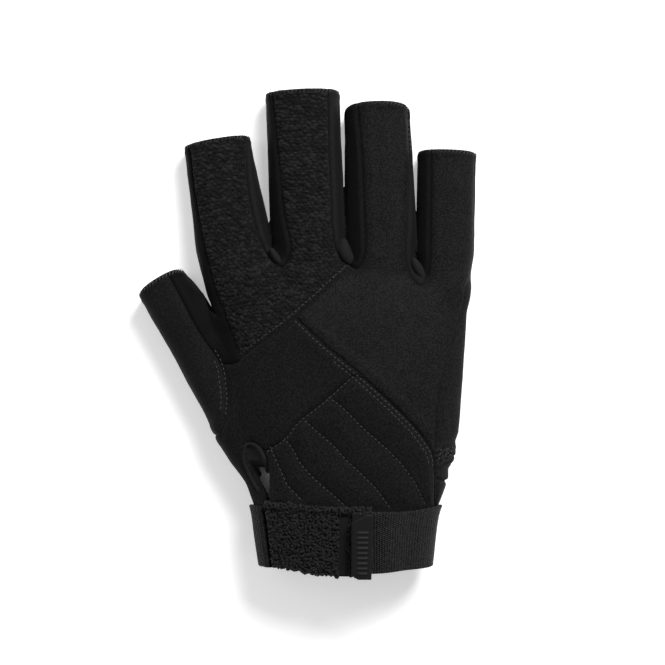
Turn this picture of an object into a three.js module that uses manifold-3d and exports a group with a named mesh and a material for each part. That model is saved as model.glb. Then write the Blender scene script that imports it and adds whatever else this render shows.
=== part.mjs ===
// A right-hand neoprene glove with cut-off fingers, of the kind worn for sailing and other water
// sports, sewn from separate panels and closed by an elastic wrist strap. It lies on its palm.
// Millimetres, +Z up, +Y towards the fingertips, +X towards the little finger. The origin is on
// the surface that the glove lies on, under the middle of the palm.
import * as THREE from "three";
import { mergeVertices } from "three/addons/utils/BufferGeometryUtils.js";
import Module from "manifold-3d";

const wasm = await Module();
wasm.setup();

// The hand of the glove
const handBreadth = 111; // outside, across the knuckles
const handLength = 137; // the scale of all that is placed along the hand
const handDepth = 30; // outside, at the back of the wrist
const wall = 2; // neoprene with a knitted face on each side
const seamGap = 0.3; // between two sewn panels, and between two layers that lie on each other
const palmSink = 0.6; // what the table presses flat of the rounded underside

// The digits. Roots are shares of the hand's breadth and length, and all else is in millimetres
// and degrees. Lean is towards the thumb side, arch is how far the back of a hem stands forward.
const digits = {
  index: { rootAcross: -0.417, rootAlong: 0.38, lean: 9.3, length: 43, rootWidth: 31.4,
    tipWidth: 27.2, buriedDepth: 21.5, rootDepth: 20.5, tipDepth: 18, arch: 1.5 },
  middle: { rootAcross: -0.138, rootAlong: 0.409, lean: 2.4, length: 59, rootWidth: 30.8,
    tipWidth: 30.2, buriedDepth: 22.5, rootDepth: 21.5, tipDepth: 19, arch: 1.5 },
  ring: { rootAcross: 0.135, rootAlong: 0.394, lean: 1.7, length: 53.5, rootWidth: 30.2,
    tipWidth: 26.8, buriedDepth: 21.5, rootDepth: 20.5, tipDepth: 18, arch: 4 },
  little: { rootAcross: 0.374, rootAlong: 0.35, lean: -1.5, length: 42, rootWidth: 24.2,
    tipWidth: 24, buriedDepth: 20.5, rootDepth: 19.5, tipDepth: 16.5, arch: 1.5 },
  thumb: { rootAcross: -0.378, rootAlong: -0.156, lean: 31, length: 66.5, rootWidth: 25.4,
    tipWidth: 21, buriedDepth: 18, rootDepth: 21, tipDepth: 19, arch: 3 },
};
const buriedRoot = 20; // how far a finger's tube starts inside the hand
const buriedThumb = 15;

// The wrist strap and what it holds on
const webbingWidth = 25;
const webbingThickness = 1.6;
const pileThickness = 1.8;
const strapInset = 0.5; // how far its lower edge lies in from the cuff's end
const strapDroop = 2.2; // how much lower it runs at the pull tab
const pileOverhang = 1.5; // the pile is a little wider than the strap
const pullTabThickness = 2.6;
const labelThickness = 0.5;

// The wrist slit
const slitLength = 20.5;
const slitWidth = 5.6;
const slitLean = 14;
const slitAcross = -0.314; // its middle, as shares of the hand's breadth and length
const slitAlong = -0.306;
const bindingWidth = 1.9;
const bindingRise = 0.7;
const cuffCut = 1.6; // the open cut from the slit to the cuff's end

// Sections of the hand, from the cuff's end to the web. Thumb side and little side are shares of
// the breadth, along of the length, and the top share of the depth. Raise is 1 where the strap
// lies under the cuff and lifts it off the table. Turn follows the slanting line of the finger webs.
const handSections = [
  { along: -0.595, thumbSide: -0.305, littleSide: 0.311, topShare: 1.0, raise: 1, turn: 0 },
  { along: -0.482, thumbSide: -0.326, littleSide: 0.325, topShare: 1.03, raise: 1, turn: 0 },
  { along: -0.42, thumbSide: -0.333, littleSide: 0.336, topShare: 1.05, raise: 1, turn: 0 },
  { along: -0.385, thumbSide: -0.352, littleSide: 0.361, topShare: 1.05, raise: 0.9, turn: 0 },
  { along: -0.345, thumbSide: -0.366, littleSide: 0.378, topShare: 1.04, raise: 0.6, turn: 0 },
  { along: -0.248, thumbSide: -0.437, littleSide: 0.415, topShare: 1.0, raise: 0.15, turn: 0 },
  { along: -0.176, thumbSide: -0.468, littleSide: 0.426, topShare: 0.99, raise: 0, turn: 0 },
  { along: -0.05, thumbSide: -0.462, littleSide: 0.438, topShare: 0.97, raise: 0, turn: 0 },
  { along: 0.09, thumbSide: -0.475, littleSide: 0.449, topShare: 0.92, raise: 0, turn: 0 },
  { along: 0.19, thumbSide: -0.505, littleSide: 0.456, topShare: 0.85, raise: 0, turn: -2 },
  { along: 0.26, thumbSide: -0.53, littleSide: 0.462, topShare: 0.76, raise: 0, turn: -4.5 },
  { along: 0.3, thumbSide: -0.53, littleSide: 0.464, topShare: 0.69, raise: 0, turn: -7.5 },
  { along: 0.322, thumbSide: -0.51, littleSide: 0.45, topShare: 0.54, raise: 0, turn: -7.5 },
];

// Folds across the little-finger side, where the glove bends at the wrist. Along and spread are
// shares of the length, and the depth share of the hand's depth.
const sideFolds = [
  { along: -0.215, spread: 0.022, depthShare: 0.03 },
  { along: -0.3, spread: 0.03, depthShare: 0.035 },
];

// Heights of the two seams round the sides, as shares of the depth
const seamHeights = [
  { along: -0.7, back: 0.72, palm: 0.27 },
  { along: -0.25, back: 0.66, palm: 0.2 },
  { along: 0.1, back: 0.55, palm: 0.17 },
  { along: 0.3, back: 0.4, palm: 0.16 },
  { along: 1, back: 0.38, palm: 0.16 },
];

// Seams seen from above, as shares of the breadth and the length
const knitSeam = [{ across: -0.393, along: 0.033 }, { across: -0.187, along: 0.161 },
  { across: 0.019, along: 0.312 }];
const neopreneSeam = [{ across: -0.187, along: 0.161 }, { across: -0.071, along: 0.073 },
  { across: 0.056, along: -0.012 }, { across: 0.239, along: -0.151 },
  { across: 0.318, along: -0.233 }, { across: 0.336, along: -0.276 }];
const padSeam = [{ across: -0.295, along: -0.242 }, { across: -0.224, along: -0.203 },
  { across: -0.176, along: -0.154 }, { across: -0.082, along: -0.094 },
  { across: 0.026, along: -0.015 }];
const outerSeam = [{ across: 0.6, along: 0.3 }, { across: 0.465, along: 0.27 },
  { across: 0.44, along: 0.2 }, { across: 0.4, along: 0.091 }, { across: 0.348, along: -0.076 },
  { across: 0.336, along: -0.264 }, { across: 0.34, along: -0.4 }, { across: 0.3, along: -0.7 }];
const gussetSeam = [{ across: -0.6, along: 0.42 }, { across: -0.535, along: 0.391 },
  { across: -0.505, along: 0.285 }, { across: -0.467, along: 0.221 },
  { across: -0.437, along: 0.167 }, { across: -0.4, along: 0.1 },
  { across: -0.393, along: 0.033 }, { across: -0.434, along: 0.018 }];
const thumbSeam = [{ across: -0.7, along: 0.36 }, { across: -0.662, along: 0.294 },
  { across: -0.602, along: 0.203 }, { across: -0.561, along: 0.139 },
  { across: -0.475, along: 0.027 }, { across: -0.456, along: -0.042 },
  { across: -0.452, along: -0.109 }, { across: -0.48, along: -0.2 },
  { across: -0.6, along: -0.22 }];

// The fourchettes seen from above: down one finger's back seam to the web, and up the next one's
const webSeams = {
  index_middle: [{ across: -0.36, along: 0.76 }, { across: -0.366, along: 0.624 },
    { across: -0.351, along: 0.503 }, { across: -0.303, along: 0.37 },
    { across: -0.235, along: 0.312 }, { across: -0.202, along: 0.37 },
    { across: -0.228, along: 0.47 }, { across: -0.254, along: 0.676 },
    { across: -0.28, along: 0.9 }],
  middle_ring: [{ across: -0.064, along: 0.9 }, { across: -0.06, along: 0.709 },
    { across: -0.052, along: 0.539 }, { across: -0.045, along: 0.415 },
    { across: -0.022, along: 0.352 }, { across: 0.041, along: 0.307 },
    { across: 0.073, along: 0.35 }, { across: 0.071, along: 0.479 },
    { across: 0.06, along: 0.663 }, { across: 0.038, along: 0.87 }],
  ring_little: [{ across: 0.237, along: 0.87 }, { across: 0.243, along: 0.618 },
    { across: 0.232, along: 0.46 }, { across: 0.228, along: 0.333 },
    { across: 0.275, along: 0.259 }, { across: 0.312, along: 0.3 },
    { across: 0.318, along: 0.46 }, { across: 0.32, along: 0.579 },
    { across: 0.318, along: 0.75 }],
};

const outside = 400; // beyond the whole glove, for the solids that only cut
const sliver = 0.05; // crumbs of this size that the cuts leave are merged away
const fingertipRun = 8; // how far the hollows run out past their openings
const ringSides = 28;
const digitSides = 20;
const topRoundness = 2.3; // exponents of the section's upper and lower half
const underRoundness = 3.2;

const place = (row) => new THREE.Vector2(row.across * handBreadth, row.along * handLength);
const degrees = THREE.MathUtils.degToRad;

// A closed indexed geometry as a solid. Vertices that share a place are merged first.
function solid(geometry) {
  const bare = geometry.clone();
  for (const name of Object.keys(bare.attributes)) {
    if (name !== "position") bare.deleteAttribute(name);
  }
  const merged = mergeVertices(bare, 1e-4);
  return new wasm.Manifold(new wasm.Mesh({
    numProp: 3,
    vertProperties: merged.attributes.position.array,
    triVerts: new Uint32Array(merged.index.array),
  }));
}

// The largest body of a cut panel: its offcuts fall away.
const panel = (cut) => cut.decompose().sort((a, b) => b.volume() - a.volume())[0];

// The outline of a section between -1 and 1, starting at +X and turning over the top.
function unitRing(sides) {
  const power = (value, roundness) => Math.sign(value) * Math.abs(value) ** (2 / roundness);
  return Array.from({ length: sides }, (_, i) => {
    const angle = (2 * Math.PI * i) / sides;
    const roundness = Math.sin(angle) > 0 ? topRoundness : underRoundness;
    return {
      across: power(Math.cos(angle), roundness),
      up: power(Math.sin(angle), roundness),
    };
  });
}

// A point of a section's outline. Inset moves it into the wall, and forward along the heading.
function sectionPoint(station, spot, inset, forward = 0) {
  const across = spot.across * (station.width / 2 - inset) - (station.fold ?? 0) * Math.max(0, spot.across) ** 4;
  const low = station.floor + inset;
  const high = station.top - inset;
  return new THREE.Vector3(
    station.x + across * Math.cos(station.turn) - forward * Math.sin(station.turn),
    station.y + across * Math.sin(station.turn) + forward * Math.cos(station.turn),
    (low + high) / 2 + (spot.up * (high - low)) / 2,
  );
}

// A closed surface through rings of points, with a fan over each end.
function closedTube(rings) {
  const sides = rings[0].length;
  const points = rings.flat();
  const middle = (ring) => ring.reduce((sum, p) => sum.add(p), new THREE.Vector3())
    .divideScalar(sides);
  const first = points.push(middle(rings[0])) - 1;
  const last = points.push(middle(rings.at(-1))) - 1;
  const faces = [];
  for (let i = 0; i < sides; i++) {
    const next = (i + 1) % sides;
    faces.push(first, i, next);
    faces.push(last, (rings.length - 1) * sides + next, (rings.length - 1) * sides + i);
    for (let row = 0; row < rings.length - 1; row++) {
      const [a, b] = [row * sides + i, row * sides + next];
      faces.push(a, a + sides, b, b, a + sides, b + sides);
    }
  }
  return solid(new THREE.BufferGeometry().setFromPoints(points).setIndex(faces));
}

// A tube through its stations. Inset makes its hollow, which stops short of a closed end by the
// wall and runs out past an open one.
function loft(stations, sides, inset, openStart = false, openEnd = false) {
  const moved = (station, forward) => ({
    ...station,
    x: station.x - forward * Math.sin(station.turn),
    y: station.y + forward * Math.cos(station.turn),
  });
  const run = [...stations];
  if (inset > 0) {
    if (openStart) run.unshift(moved(run[0], -fingertipRun));
    else run[0] = moved(run[0], inset);
    if (openEnd) run.push({ ...moved(run.at(-1), fingertipRun), arch: 0 });
    else run.push(moved(run.pop(), -inset));
  }
  const ring = unitRing(sides);
  return closedTube(run.map((station) => ring.map((spot) =>
    sectionPoint(station, spot, inset, (station.arch ?? 0) * Math.max(0, spot.up)))));
}

// A plate that follows a surface: pointAt(row, column, layer) gives its lower and upper face.
function plate(rows, columns, pointAt) {
  const points = [];
  const faces = [];
  for (const layer of [0, 1]) {
    for (let r = 0; r < rows; r++) {
      for (let c = 0; c < columns; c++) points.push(pointAt(r, c, layer));
    }
  }
  const id = (r, c, layer) => (layer * rows + r) * columns + c;
  const quad = (a, b, c, d) => faces.push(a, c, b, a, d, c);
  for (let r = 0; r < rows - 1; r++) {
    for (let c = 0; c < columns - 1; c++) {
      quad(id(r, c, 1), id(r, c + 1, 1), id(r + 1, c + 1, 1), id(r + 1, c, 1));
      quad(id(r, c, 0), id(r + 1, c, 0), id(r + 1, c + 1, 0), id(r, c + 1, 0));
    }
    quad(id(r, 0, 0), id(r, 0, 1), id(r + 1, 0, 1), id(r + 1, 0, 0));
    quad(id(r, columns - 1, 0), id(r + 1, columns - 1, 0), id(r + 1, columns - 1, 1),
      id(r, columns - 1, 1));
  }
  for (let c = 0; c < columns - 1; c++) {
    quad(id(0, c, 0), id(0, c + 1, 0), id(0, c + 1, 1), id(0, c, 1));
    quad(id(rows - 1, c, 0), id(rows - 1, c, 1), id(rows - 1, c + 1, 1), id(rows - 1, c + 1, 0));
  }
  return solid(new THREE.BufferGeometry().setFromPoints(points).setIndex(faces));
}

// An upright block over an outline seen from above.
function prism(outline) {
  const geometry = new THREE.ExtrudeGeometry(new THREE.Shape(outline), {
    depth: 2 * outside,
    bevelEnabled: false,
  });
  return solid(geometry.translate(0, 0, -outside));
}

// An upright curtain of a given thickness along a seam seen from above.
function curtain(line, thickness) {
  const side = (sign) => line.map((point, i) => {
    const along = line[Math.min(i + 1, line.length - 1)].clone()
      .sub(line[Math.max(i - 1, 0)]).normalize();
    return new THREE.Vector2(-along.y, along.x).multiplyScalar((sign * thickness) / 2).add(point);
  });
  return prism([...side(1), ...side(-1).reverse()]);
}

// Everything under a seam that runs round the sides, or all above it, shifted up by a distance.
function levelBlock(seam, shift, upper) {
  const edge = seamHeights.map((row) =>
    new THREE.Vector2(row.along * handLength, row[seam] * handDepth + shift));
  const far = upper ? outside : -outside;
  const outline = [...edge, new THREE.Vector2(edge.at(-1).x, far),
    new THREE.Vector2(edge[0].x, far)];
  const geometry = new THREE.ExtrudeGeometry(new THREE.Shape(outline), {
    depth: 2 * outside,
    bevelEnabled: false,
  });
  // The outline is drawn with its axes along the hand and up, and is swept across the hand.
  geometry.translate(0, 0, -outside).applyMatrix4(new THREE.Matrix4().makeBasis(
    new THREE.Vector3(0, 1, 0), new THREE.Vector3(0, 0, 1), new THREE.Vector3(1, 0, 0)));
  return solid(geometry);
}
const under = (seam, shift = 0) => levelBlock(seam, shift, false);
const over = (seam, shift = 0) => levelBlock(seam, shift, true);

// Stations of the hand and of each digit
const strapStack = webbingThickness + seamGap;
function handStation(row) {
  const left = row.thumbSide * handBreadth;
  const right = row.littleSide * handBreadth;
  return {
    x: (left + right) / 2,
    y: row.along * handLength,
    width: right - left,
    top: row.topShare * handDepth,
    floor: row.raise * strapStack - (1 - row.raise) * palmSink,
    turn: degrees(row.turn),
    fold: (row.fold ?? 0) * handDepth,
  };
}

// The hand's section at any place along it, between two rows of the table.
function handRowAt(along) {
  const next = Math.max(1, handSections.findIndex((row) => row.along >= along));
  const [low, high] = [handSections[next - 1], handSections[next]];
  const share = (along - low.along) / (high.along - low.along);
  const mixed = {};
  for (const key of Object.keys(low)) mixed[key] = THREE.MathUtils.lerp(low[key], high[key], share);
  return mixed;
}
const foldRows = sideFolds.flatMap((fold) => [
  handRowAt(fold.along - fold.spread),
  { ...handRowAt(fold.along), fold: fold.depthShare },
  handRowAt(fold.along + fold.spread),
]);
const handStations = [...handSections, ...foldRows]
  .sort((a, b) => a.along - b.along)
  .map(handStation);

function digitStations(digit, rootRun) {
  const root = place({ across: digit.rootAcross, along: digit.rootAlong });
  const turn = degrees(digit.lean);
  const stationAt = (reach, width, depth, arch = 0) => ({
    x: root.x - reach * Math.sin(turn),
    y: root.y + reach * Math.cos(turn),
    width,
    top: depth,
    floor: -palmSink,
    turn,
    arch,
  });
  const mean = (a, b, share) => THREE.MathUtils.lerp(a, b, share);
  return [
    { ...stationAt(-rootRun, 0.8 * digit.rootWidth, digit.buriedDepth), floor: wall },
    stationAt(0, digit.rootWidth, digit.rootDepth),
    stationAt(0.5 * digit.length, mean(digit.rootWidth, digit.tipWidth, 0.6),
      mean(digit.rootDepth, digit.tipDepth, 0.4)),
    stationAt(digit.length, digit.tipWidth, digit.tipDepth, digit.arch),
  ];
}

// The whole skin: everything outside, less the hollow, pressed flat by the table.
function body(inset) {
  let joined = loft(handStations, ringSides, inset, true, false);
  for (const [name, digit] of Object.entries(digits)) {
    const stations = digitStations(digit, name === "thumb" ? buriedThumb : buriedRoot);
    joined = joined.add(loft(stations, digitSides, inset, false, true));
  }
  const table = new THREE.BoxGeometry(2 * outside, 2 * outside, outside)
    .translate(0, 0, Math.max(inset, 0) - outside / 2);
  return joined.subtract(solid(table));
}
const hollow = body(wall);
const skin = body(0).subtract(hollow);

// Panel outlines seen from above. A panel reaches the seam line, and its neighbour stops short.
const smooth = (rows, count = 14) => new THREE.SplineCurve(rows.map(place)).getPoints(count);
const knitLine = smooth(knitSeam, 4);
const neopreneLine = smooth(neopreneSeam);
const padLine = smooth(padSeam, 8);
const outerLine = smooth(outerSeam);
const gussetLine = smooth(gussetSeam, 12);
const thumbLine = smooth(thumbSeam);
const far = (across, along) => new THREE.Vector2(across * outside, along * outside);
const cuffEnd = handSections[0].along * handLength;
const strapTop = cuffEnd + strapInset + webbingWidth;

// The slit at the wrist: a drop with its point towards the cuff.
function slitOutline(grow) {
  const length = slitLength / 2 + grow;
  const width = slitWidth / 2 + grow;
  const middle = place({ across: slitAcross, along: slitAlong });
  const curve = new THREE.SplineCurve([[0, -1], [-0.62, -0.3], [-1, 0.45], [-0.62, 0.92], [0, 1],
    [0.68, 0.78], [0.95, 0.2], [0.62, -0.4], [0, -1]].map(([across, along]) =>
    new THREE.Vector2(across * width, along * length)));
  return curve.getPoints(16).slice(0, -1).map((point) =>
    point.rotateAround(new THREE.Vector2(), degrees(slitLean)).add(middle));
}
const slitPoint = slitOutline(0)[0];
const cuffLine = [slitPoint, new THREE.Vector2(0.87 * handSections[0].thumbSide * handBreadth,
  cuffEnd), new THREE.Vector2(0.8 * handSections[0].thumbSide * handBreadth, 2 * cuffEnd)];

// Areas seen from above that the thumb, the gusset, the outer side and the fourchettes take
const thumbArea = prism([...thumbLine, far(-0.3, -0.08), far(-0.3, 0.2)]);
const meeting = thumbLine.findIndex((point) => point.y < gussetLine.at(-1).y);
const gussetArea = prism([...gussetLine, ...thumbLine.slice(0, meeting).reverse(),
  new THREE.Vector2(thumbLine[0].x, gussetLine[0].y)]);
const outerArea = prism([...outerLine, far(1, -1), far(1, 0.2)]);
const webLines = Object.fromEntries(
  Object.entries(webSeams).map(([name, rows]) => [name, smooth(rows, 18)]));
const beyond = (point) => new THREE.Vector2(point.x, handLength);
const webArea = (line) => prism([beyond(line[0]), ...line, beyond(line.at(-1))]);
const thumbEnd = place({ across: slitAcross, along: -0.2 });
const legArea = prism([new THREE.Vector2(-outside, thumbEnd.y), thumbEnd, ...cuffLine,
  far(-1, -1)]);
const slitBlock = prism(slitOutline(bindingWidth + seamGap)).intersect(over("palm", wall));

const stopShort = (made, line, gap = seamGap) => made.subtract(curtain(line, 2 * gap));
const backSkin = skin.intersect(over("back", seamGap / 2));
const sideSkin = skin.intersect(over("palm", seamGap)).intersect(under("back", -seamGap / 2));
const upperSkin = skin.intersect(over("palm", seamGap));
const axisOf = (digit, ahead = 2) => {
  const root = place({ across: digit.rootAcross, along: digit.rootAlong });
  const turn = degrees(digit.lean);
  const heading = new THREE.Vector2(-Math.sin(turn), Math.cos(turn));
  return [root.clone().addScaledVector(heading, -buriedRoot),
    root.clone().addScaledVector(heading, ahead * digit.length)];
};
const between = (a, b) => prism([...axisOf(a), ...axisOf(b).reverse()]);

// Back of the hand: what is left over the side pieces, divided along the diagonal seams
let backCut = backSkin.add(upperSkin.intersect(legArea));
for (const area of [gussetArea, thumbArea, outerArea, slitBlock]) {
  backCut = backCut.subtract(area);
}
for (const line of Object.values(webLines)) {
  backCut = stopShort(backCut.subtract(webArea(line)), line);
}
for (const line of [gussetLine, thumbLine, outerLine]) backCut = stopShort(backCut, line);
backCut = stopShort(backCut, cuffLine, cuffCut / 2);

const fingerDivide = [knitLine.at(-1), place({ across: 0, along: 0.4 }),
  place({ across: 0, along: 1 })];
const knitArea = prism([...knitLine, ...fingerDivide.slice(1), far(-1, handLength / outside),
  new THREE.Vector2(-outside, knitLine[0].y)]);
const wristRight = new THREE.Vector2(neopreneLine.at(-1).x, 2 * cuffEnd);
const neopreneArea = prism([...neopreneLine, wristRight, far(1, -1), far(1, 1),
  new THREE.Vector2(0, outside), fingerDivide[1], knitLine.at(-1)]);
const padArea = prism([new THREE.Vector2(slitPoint.x, padLine[0].y), ...padLine,
  ...neopreneLine.filter((point) => point.y < padLine.at(-1).y), wristRight,
  ...cuffLine.slice().reverse()]);

const knitBack = panel(backCut.intersect(knitArea));
const neopreneBack = panel(stopShort(backCut.intersect(neopreneArea).subtract(knitArea), knitLine));
const lowerBack = stopShort(stopShort(backCut.subtract(knitArea).subtract(neopreneArea),
  knitLine), neopreneLine);
const handBack = panel(stopShort(lowerBack.subtract(padArea), padLine));
const wristPad = panel(lowerBack.intersect(padArea));

// Thumb panel: the thumb's back and its outer side
const thumbPanel = panel(upperSkin.intersect(thumbArea).subtract(legArea)
  .subtract(curtain([new THREE.Vector2(-outside, thumbEnd.y), thumbEnd], 2 * seamGap)));

// Gusset from the index finger's outer side across to the thumb's inner side
const indexAxis = axisOf(digits.index);
const indexOuter = prism([...indexAxis, far(-1, 1), far(-1, 0)]);
const gusset = panel(stopShort(upperSkin.intersect(gussetArea)
  .add(sideSkin.intersect(indexOuter)).subtract(thumbArea), thumbLine));

// Fourchettes: the strips down one finger's side, round the web and up the next finger's side
const fourchette = (name, a, b) => panel(upperSkin.intersect(webArea(webLines[name]))
  .add(sideSkin.intersect(between(a, b))));
const fourchettes = {
  index_middle: fourchette("index_middle", digits.index, digits.middle),
  middle_ring: fourchette("middle_ring", digits.middle, digits.ring),
  ring_little: fourchette("ring_little", digits.ring, digits.little),
};

// Outer side panel: the little finger's outer side and the edge of the hand, down to the cuff
const littleAxis = axisOf(digits.little);
const littleOuter = prism([...littleAxis, far(1, 1), far(1, -1),
  new THREE.Vector2(0, -outside), new THREE.Vector2(0, littleAxis[0].y)].reverse());
const outerSide = panel(upperSkin.intersect(outerArea).add(sideSkin.intersect(littleOuter)));

const palm = panel(skin.intersect(under("palm")));

// The binding rolled round the slit's edge
const bindingRing = prism(slitOutline(bindingWidth)).subtract(prism(slitOutline(0)));
const binding = panel(body(-bindingRise).subtract(hollow).intersect(bindingRing)
  .intersect(over("palm", handDepth / 3)));

// Layers round the cuff. They follow its section, corner by corner, at a set distance.
const ring = unitRing(ringSides);
const handPointAt = (y, position, inset) => {
  const low = Math.floor(position);
  const corner = (i) => sectionPoint(handStation(handRowAt(y / handLength)),
    ring[((i % ringSides) + ringSides) % ringSides], inset);
  return corner(low).lerp(corner(low + 1), position - low);
};

// Where on the ring a share of the half width lies, on the back or on the palm side.
function ringPosition(share, onPalm = false) {
  const half = ringSides / 2;
  for (let i = 0; i < half; i++) {
    const [a, b] = onPalm ? [ring[(ringSides - i) % ringSides], ring[ringSides - i - 1]]
      : [ring[i], ring[i + 1]];
    if (share <= a.across && share >= b.across) {
      const position = i + (a.across - share) / (a.across - b.across);
      return onPalm ? ringSides - position : position;
    }
  }
  throw new Error("the share is past the edge of the hand");
}

// Every corner of the ring between two places, with both ends.
function columnsBetween(from, to) {
  const corners = [];
  for (let i = Math.ceil(from + 0.05); i < to - 0.05; i++) corners.push(i);
  return [from, ...corners, to];
}
const rowsBetween = (top, bottom, count) =>
  Array.from({ length: count }, (_, i) => THREE.MathUtils.lerp(top, bottom, i / (count - 1)));

// The loop pile on the back of the cuff, whose lower edge hangs down to the pull tab
const tabFrom = ringPosition(0.29);
const tabTo = ringPosition(0.055);
const pileFrom = ringPosition(0.27);
const pileTo = ringPosition(-0.84);
const pileColumns = columnsBetween(pileFrom, pileTo);
const pile = plate(4, pileColumns.length, (r, c, layer) => {
  const position = pileColumns[c];
  const drop = THREE.MathUtils.smoothstep(pileTo - position, 0, pileTo - tabTo);
  const bottom = strapTop - webbingWidth - (strapDroop + pileOverhang) * drop;
  const y = THREE.MathUtils.lerp(bottom, strapTop + pileOverhang - strapDroop * drop, r / 3);
  return handPointAt(y, position, -seamGap - layer * pileThickness);
});

// The elastic strap: from its slanting end under the pull tab over the edge of the hand, round
// the palm side and up to the thumb side of the cuff's cut. It climbs over the end of the pile.
const strapFrom = ringPosition(-0.9) - ringSides;
const strapEnds = [ringPosition(0.085), ringPosition(0.05), ringPosition(-0.01)];
const strapColumns = columnsBetween(strapFrom, tabFrom);
const droopAt = (position) => strapDroop * THREE.MathUtils.smoothstep(position, 0, tabFrom);
const climbAt = (position) => (pileThickness + seamGap)
  * THREE.MathUtils.smoothstep(position, ringPosition(0.72), ringPosition(0.4));
const strap = plate(strapEnds.length, strapColumns.length + 1, (r, c, layer) => {
  const position = strapColumns[c] ?? strapEnds[r];
  const y = strapTop - droopAt(position) - webbingWidth * (1 - r / (strapEnds.length - 1));
  const point = handPointAt(y, position,
    -seamGap - climbAt(position) - layer * webbingThickness);
  return point.setZ(Math.max(point.z, 0));
});

// The rubber pull tab sewn on the strap's end, with its outer corners cut off. Its rows run down
// from the strap's upper edge, as shares of the webbing's width.
const tabRows = [{ down: 1.1, cut: 0.35 }, { down: 1.03, cut: 0 }, { down: 0.52, cut: 0 },
  { down: 0.16, cut: 0 }, { down: 0.024, cut: 0.65 }];
const tab = plate(tabRows.length, 3, (r, c, layer) => {
  const outerEdge = THREE.MathUtils.lerp(tabTo, tabFrom, tabRows[r].cut);
  const position = THREE.MathUtils.lerp(tabFrom, outerEdge, c / 2);
  return handPointAt(strapTop - strapDroop - tabRows[r].down * webbingWidth, position,
    -3 * seamGap - pileThickness - webbingThickness - layer * pullTabThickness);
});

// A blank woven label on the inside of the palm, under the slit
const labelColumns = columnsBetween(ringPosition(-0.985, true), ringPosition(-0.72, true));
const labelRows = [slitAlong - 0.08, slitAlong - 0.035, slitAlong + 0.011];
const label = plate(labelRows.length, labelColumns.length, (r, c, layer) => {
  const y = labelRows[r] * handLength;
  return handPointAt(y, labelColumns[c], wall + seamGap + (1 - layer) * labelThickness);
});

// Each solid as a mesh of its own
const glove = new THREE.Group();
function show(name, made, colour, roughness) {
  const mesh = made.simplify(sliver).getMesh();
  const points = [];
  for (let i = 0; i < mesh.numVert; i++) {
    points.push(new THREE.Vector3().fromArray(mesh.vertProperties, i * mesh.numProp));
  }
  const geometry = new THREE.BufferGeometry().setFromPoints(points)
    .setIndex([...mesh.triVerts]);
  const material = new THREE.MeshStandardMaterial({ color: colour, roughness, metalness: 0,
    flatShading: true });
  const node = new THREE.Mesh(geometry, material);
  node.name = name;
  glove.add(node);
}
show("knit_back_panel", knitBack, 0x1c1c1d, 0.95);
show("neoprene_back_panel", neopreneBack, 0x232324, 0.9);
show("hand_back_panel", handBack, 0x1b1b1c, 0.85);
show("wrist_back_pad", wristPad, 0x1b1b1c, 0.85);
show("thumb_panel", thumbPanel, 0x1e1e1f, 0.9);
show("thumb_index_gusset", gusset, 0x161617, 0.85);
for (const [name, made] of Object.entries(fourchettes)) {
  show(`fourchette_${name}`, made, 0x171718, 0.85);
}
show("outer_side_panel", outerSide, 0x1d1d1e, 0.85);
show("palm_panel", palm, 0x1a1a1b, 0.8);
show("slit_binding", binding, 0x1e1e1f, 0.8);
show("cuff_loop_panel", pile, 0x19191a, 1);
show("wrist_strap", strap, 0x232324, 0.9);
show("pull_tab", tab, 0x242425, 0.6);
show("inner_label", label, 0x8c8c8c, 0.8);

export default glove;
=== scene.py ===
"""A right-hand neoprene glove with cut-off fingers, lying on its palm, seen straight from above."""
import math

import bmesh
import bpy
import numpy as np
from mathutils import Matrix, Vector, noise
from mathutils.bvhtree import BVHTree
from mathutils.kdtree import KDTree


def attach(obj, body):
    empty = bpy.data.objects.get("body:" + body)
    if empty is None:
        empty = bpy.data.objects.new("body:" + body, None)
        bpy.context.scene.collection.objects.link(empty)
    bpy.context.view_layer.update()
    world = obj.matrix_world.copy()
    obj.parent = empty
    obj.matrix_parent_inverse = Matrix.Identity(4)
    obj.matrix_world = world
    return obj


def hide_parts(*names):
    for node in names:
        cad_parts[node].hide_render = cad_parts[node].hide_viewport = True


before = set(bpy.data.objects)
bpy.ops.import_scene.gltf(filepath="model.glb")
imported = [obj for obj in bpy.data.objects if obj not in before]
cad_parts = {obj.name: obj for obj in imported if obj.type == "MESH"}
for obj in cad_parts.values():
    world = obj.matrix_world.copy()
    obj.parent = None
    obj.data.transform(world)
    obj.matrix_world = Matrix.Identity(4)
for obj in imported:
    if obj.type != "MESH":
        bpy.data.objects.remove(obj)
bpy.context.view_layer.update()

# The camera looks straight down on the back of the hand from far off, as in a catalogue picture.
# The picture is 276 mm wide where the glove is widest, and its middle lies beside the palm's.
view_width = 0.276
lens = 200.0
sensor = 36.0
focus_height = 0.014
view_middle = (-0.0052, 0.0155)
camera = bpy.data.objects.new("camera", bpy.data.cameras.new("camera"))
camera.data.lens = lens
camera.data.sensor_width = sensor
camera.data.clip_end = 10.0
camera.location = (*view_middle, focus_height + view_width * lens / sensor)
bpy.context.collection.objects.link(camera)
bpy.context.scene.camera = camera


# The floor is one flat white acrylic sheet, softly lit from below as on a light table, so that the
# shadows on it stay pale. The glove lies alone on it.
def linear(colour):
    """An sRGB hex value as linear red, green, blue and alpha."""
    parts = [int(colour[i:i + 2], 16) / 255 for i in (1, 3, 5)]
    return [p / 12.92 if p <= 0.04045 else ((p + 0.055) / 1.055) ** 2.4 for p in parts] + [1.0]


def new_material(name, colour, roughness):
    """A material with its shader, whose other nodes the caller adds."""
    material = bpy.data.materials.new(name)
    material.use_nodes = True
    shader = material.node_tree.nodes["Principled BSDF"]
    shader.inputs["Base Color"].default_value = linear(colour)
    shader.inputs["Roughness"].default_value = roughness
    return material, shader


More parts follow.
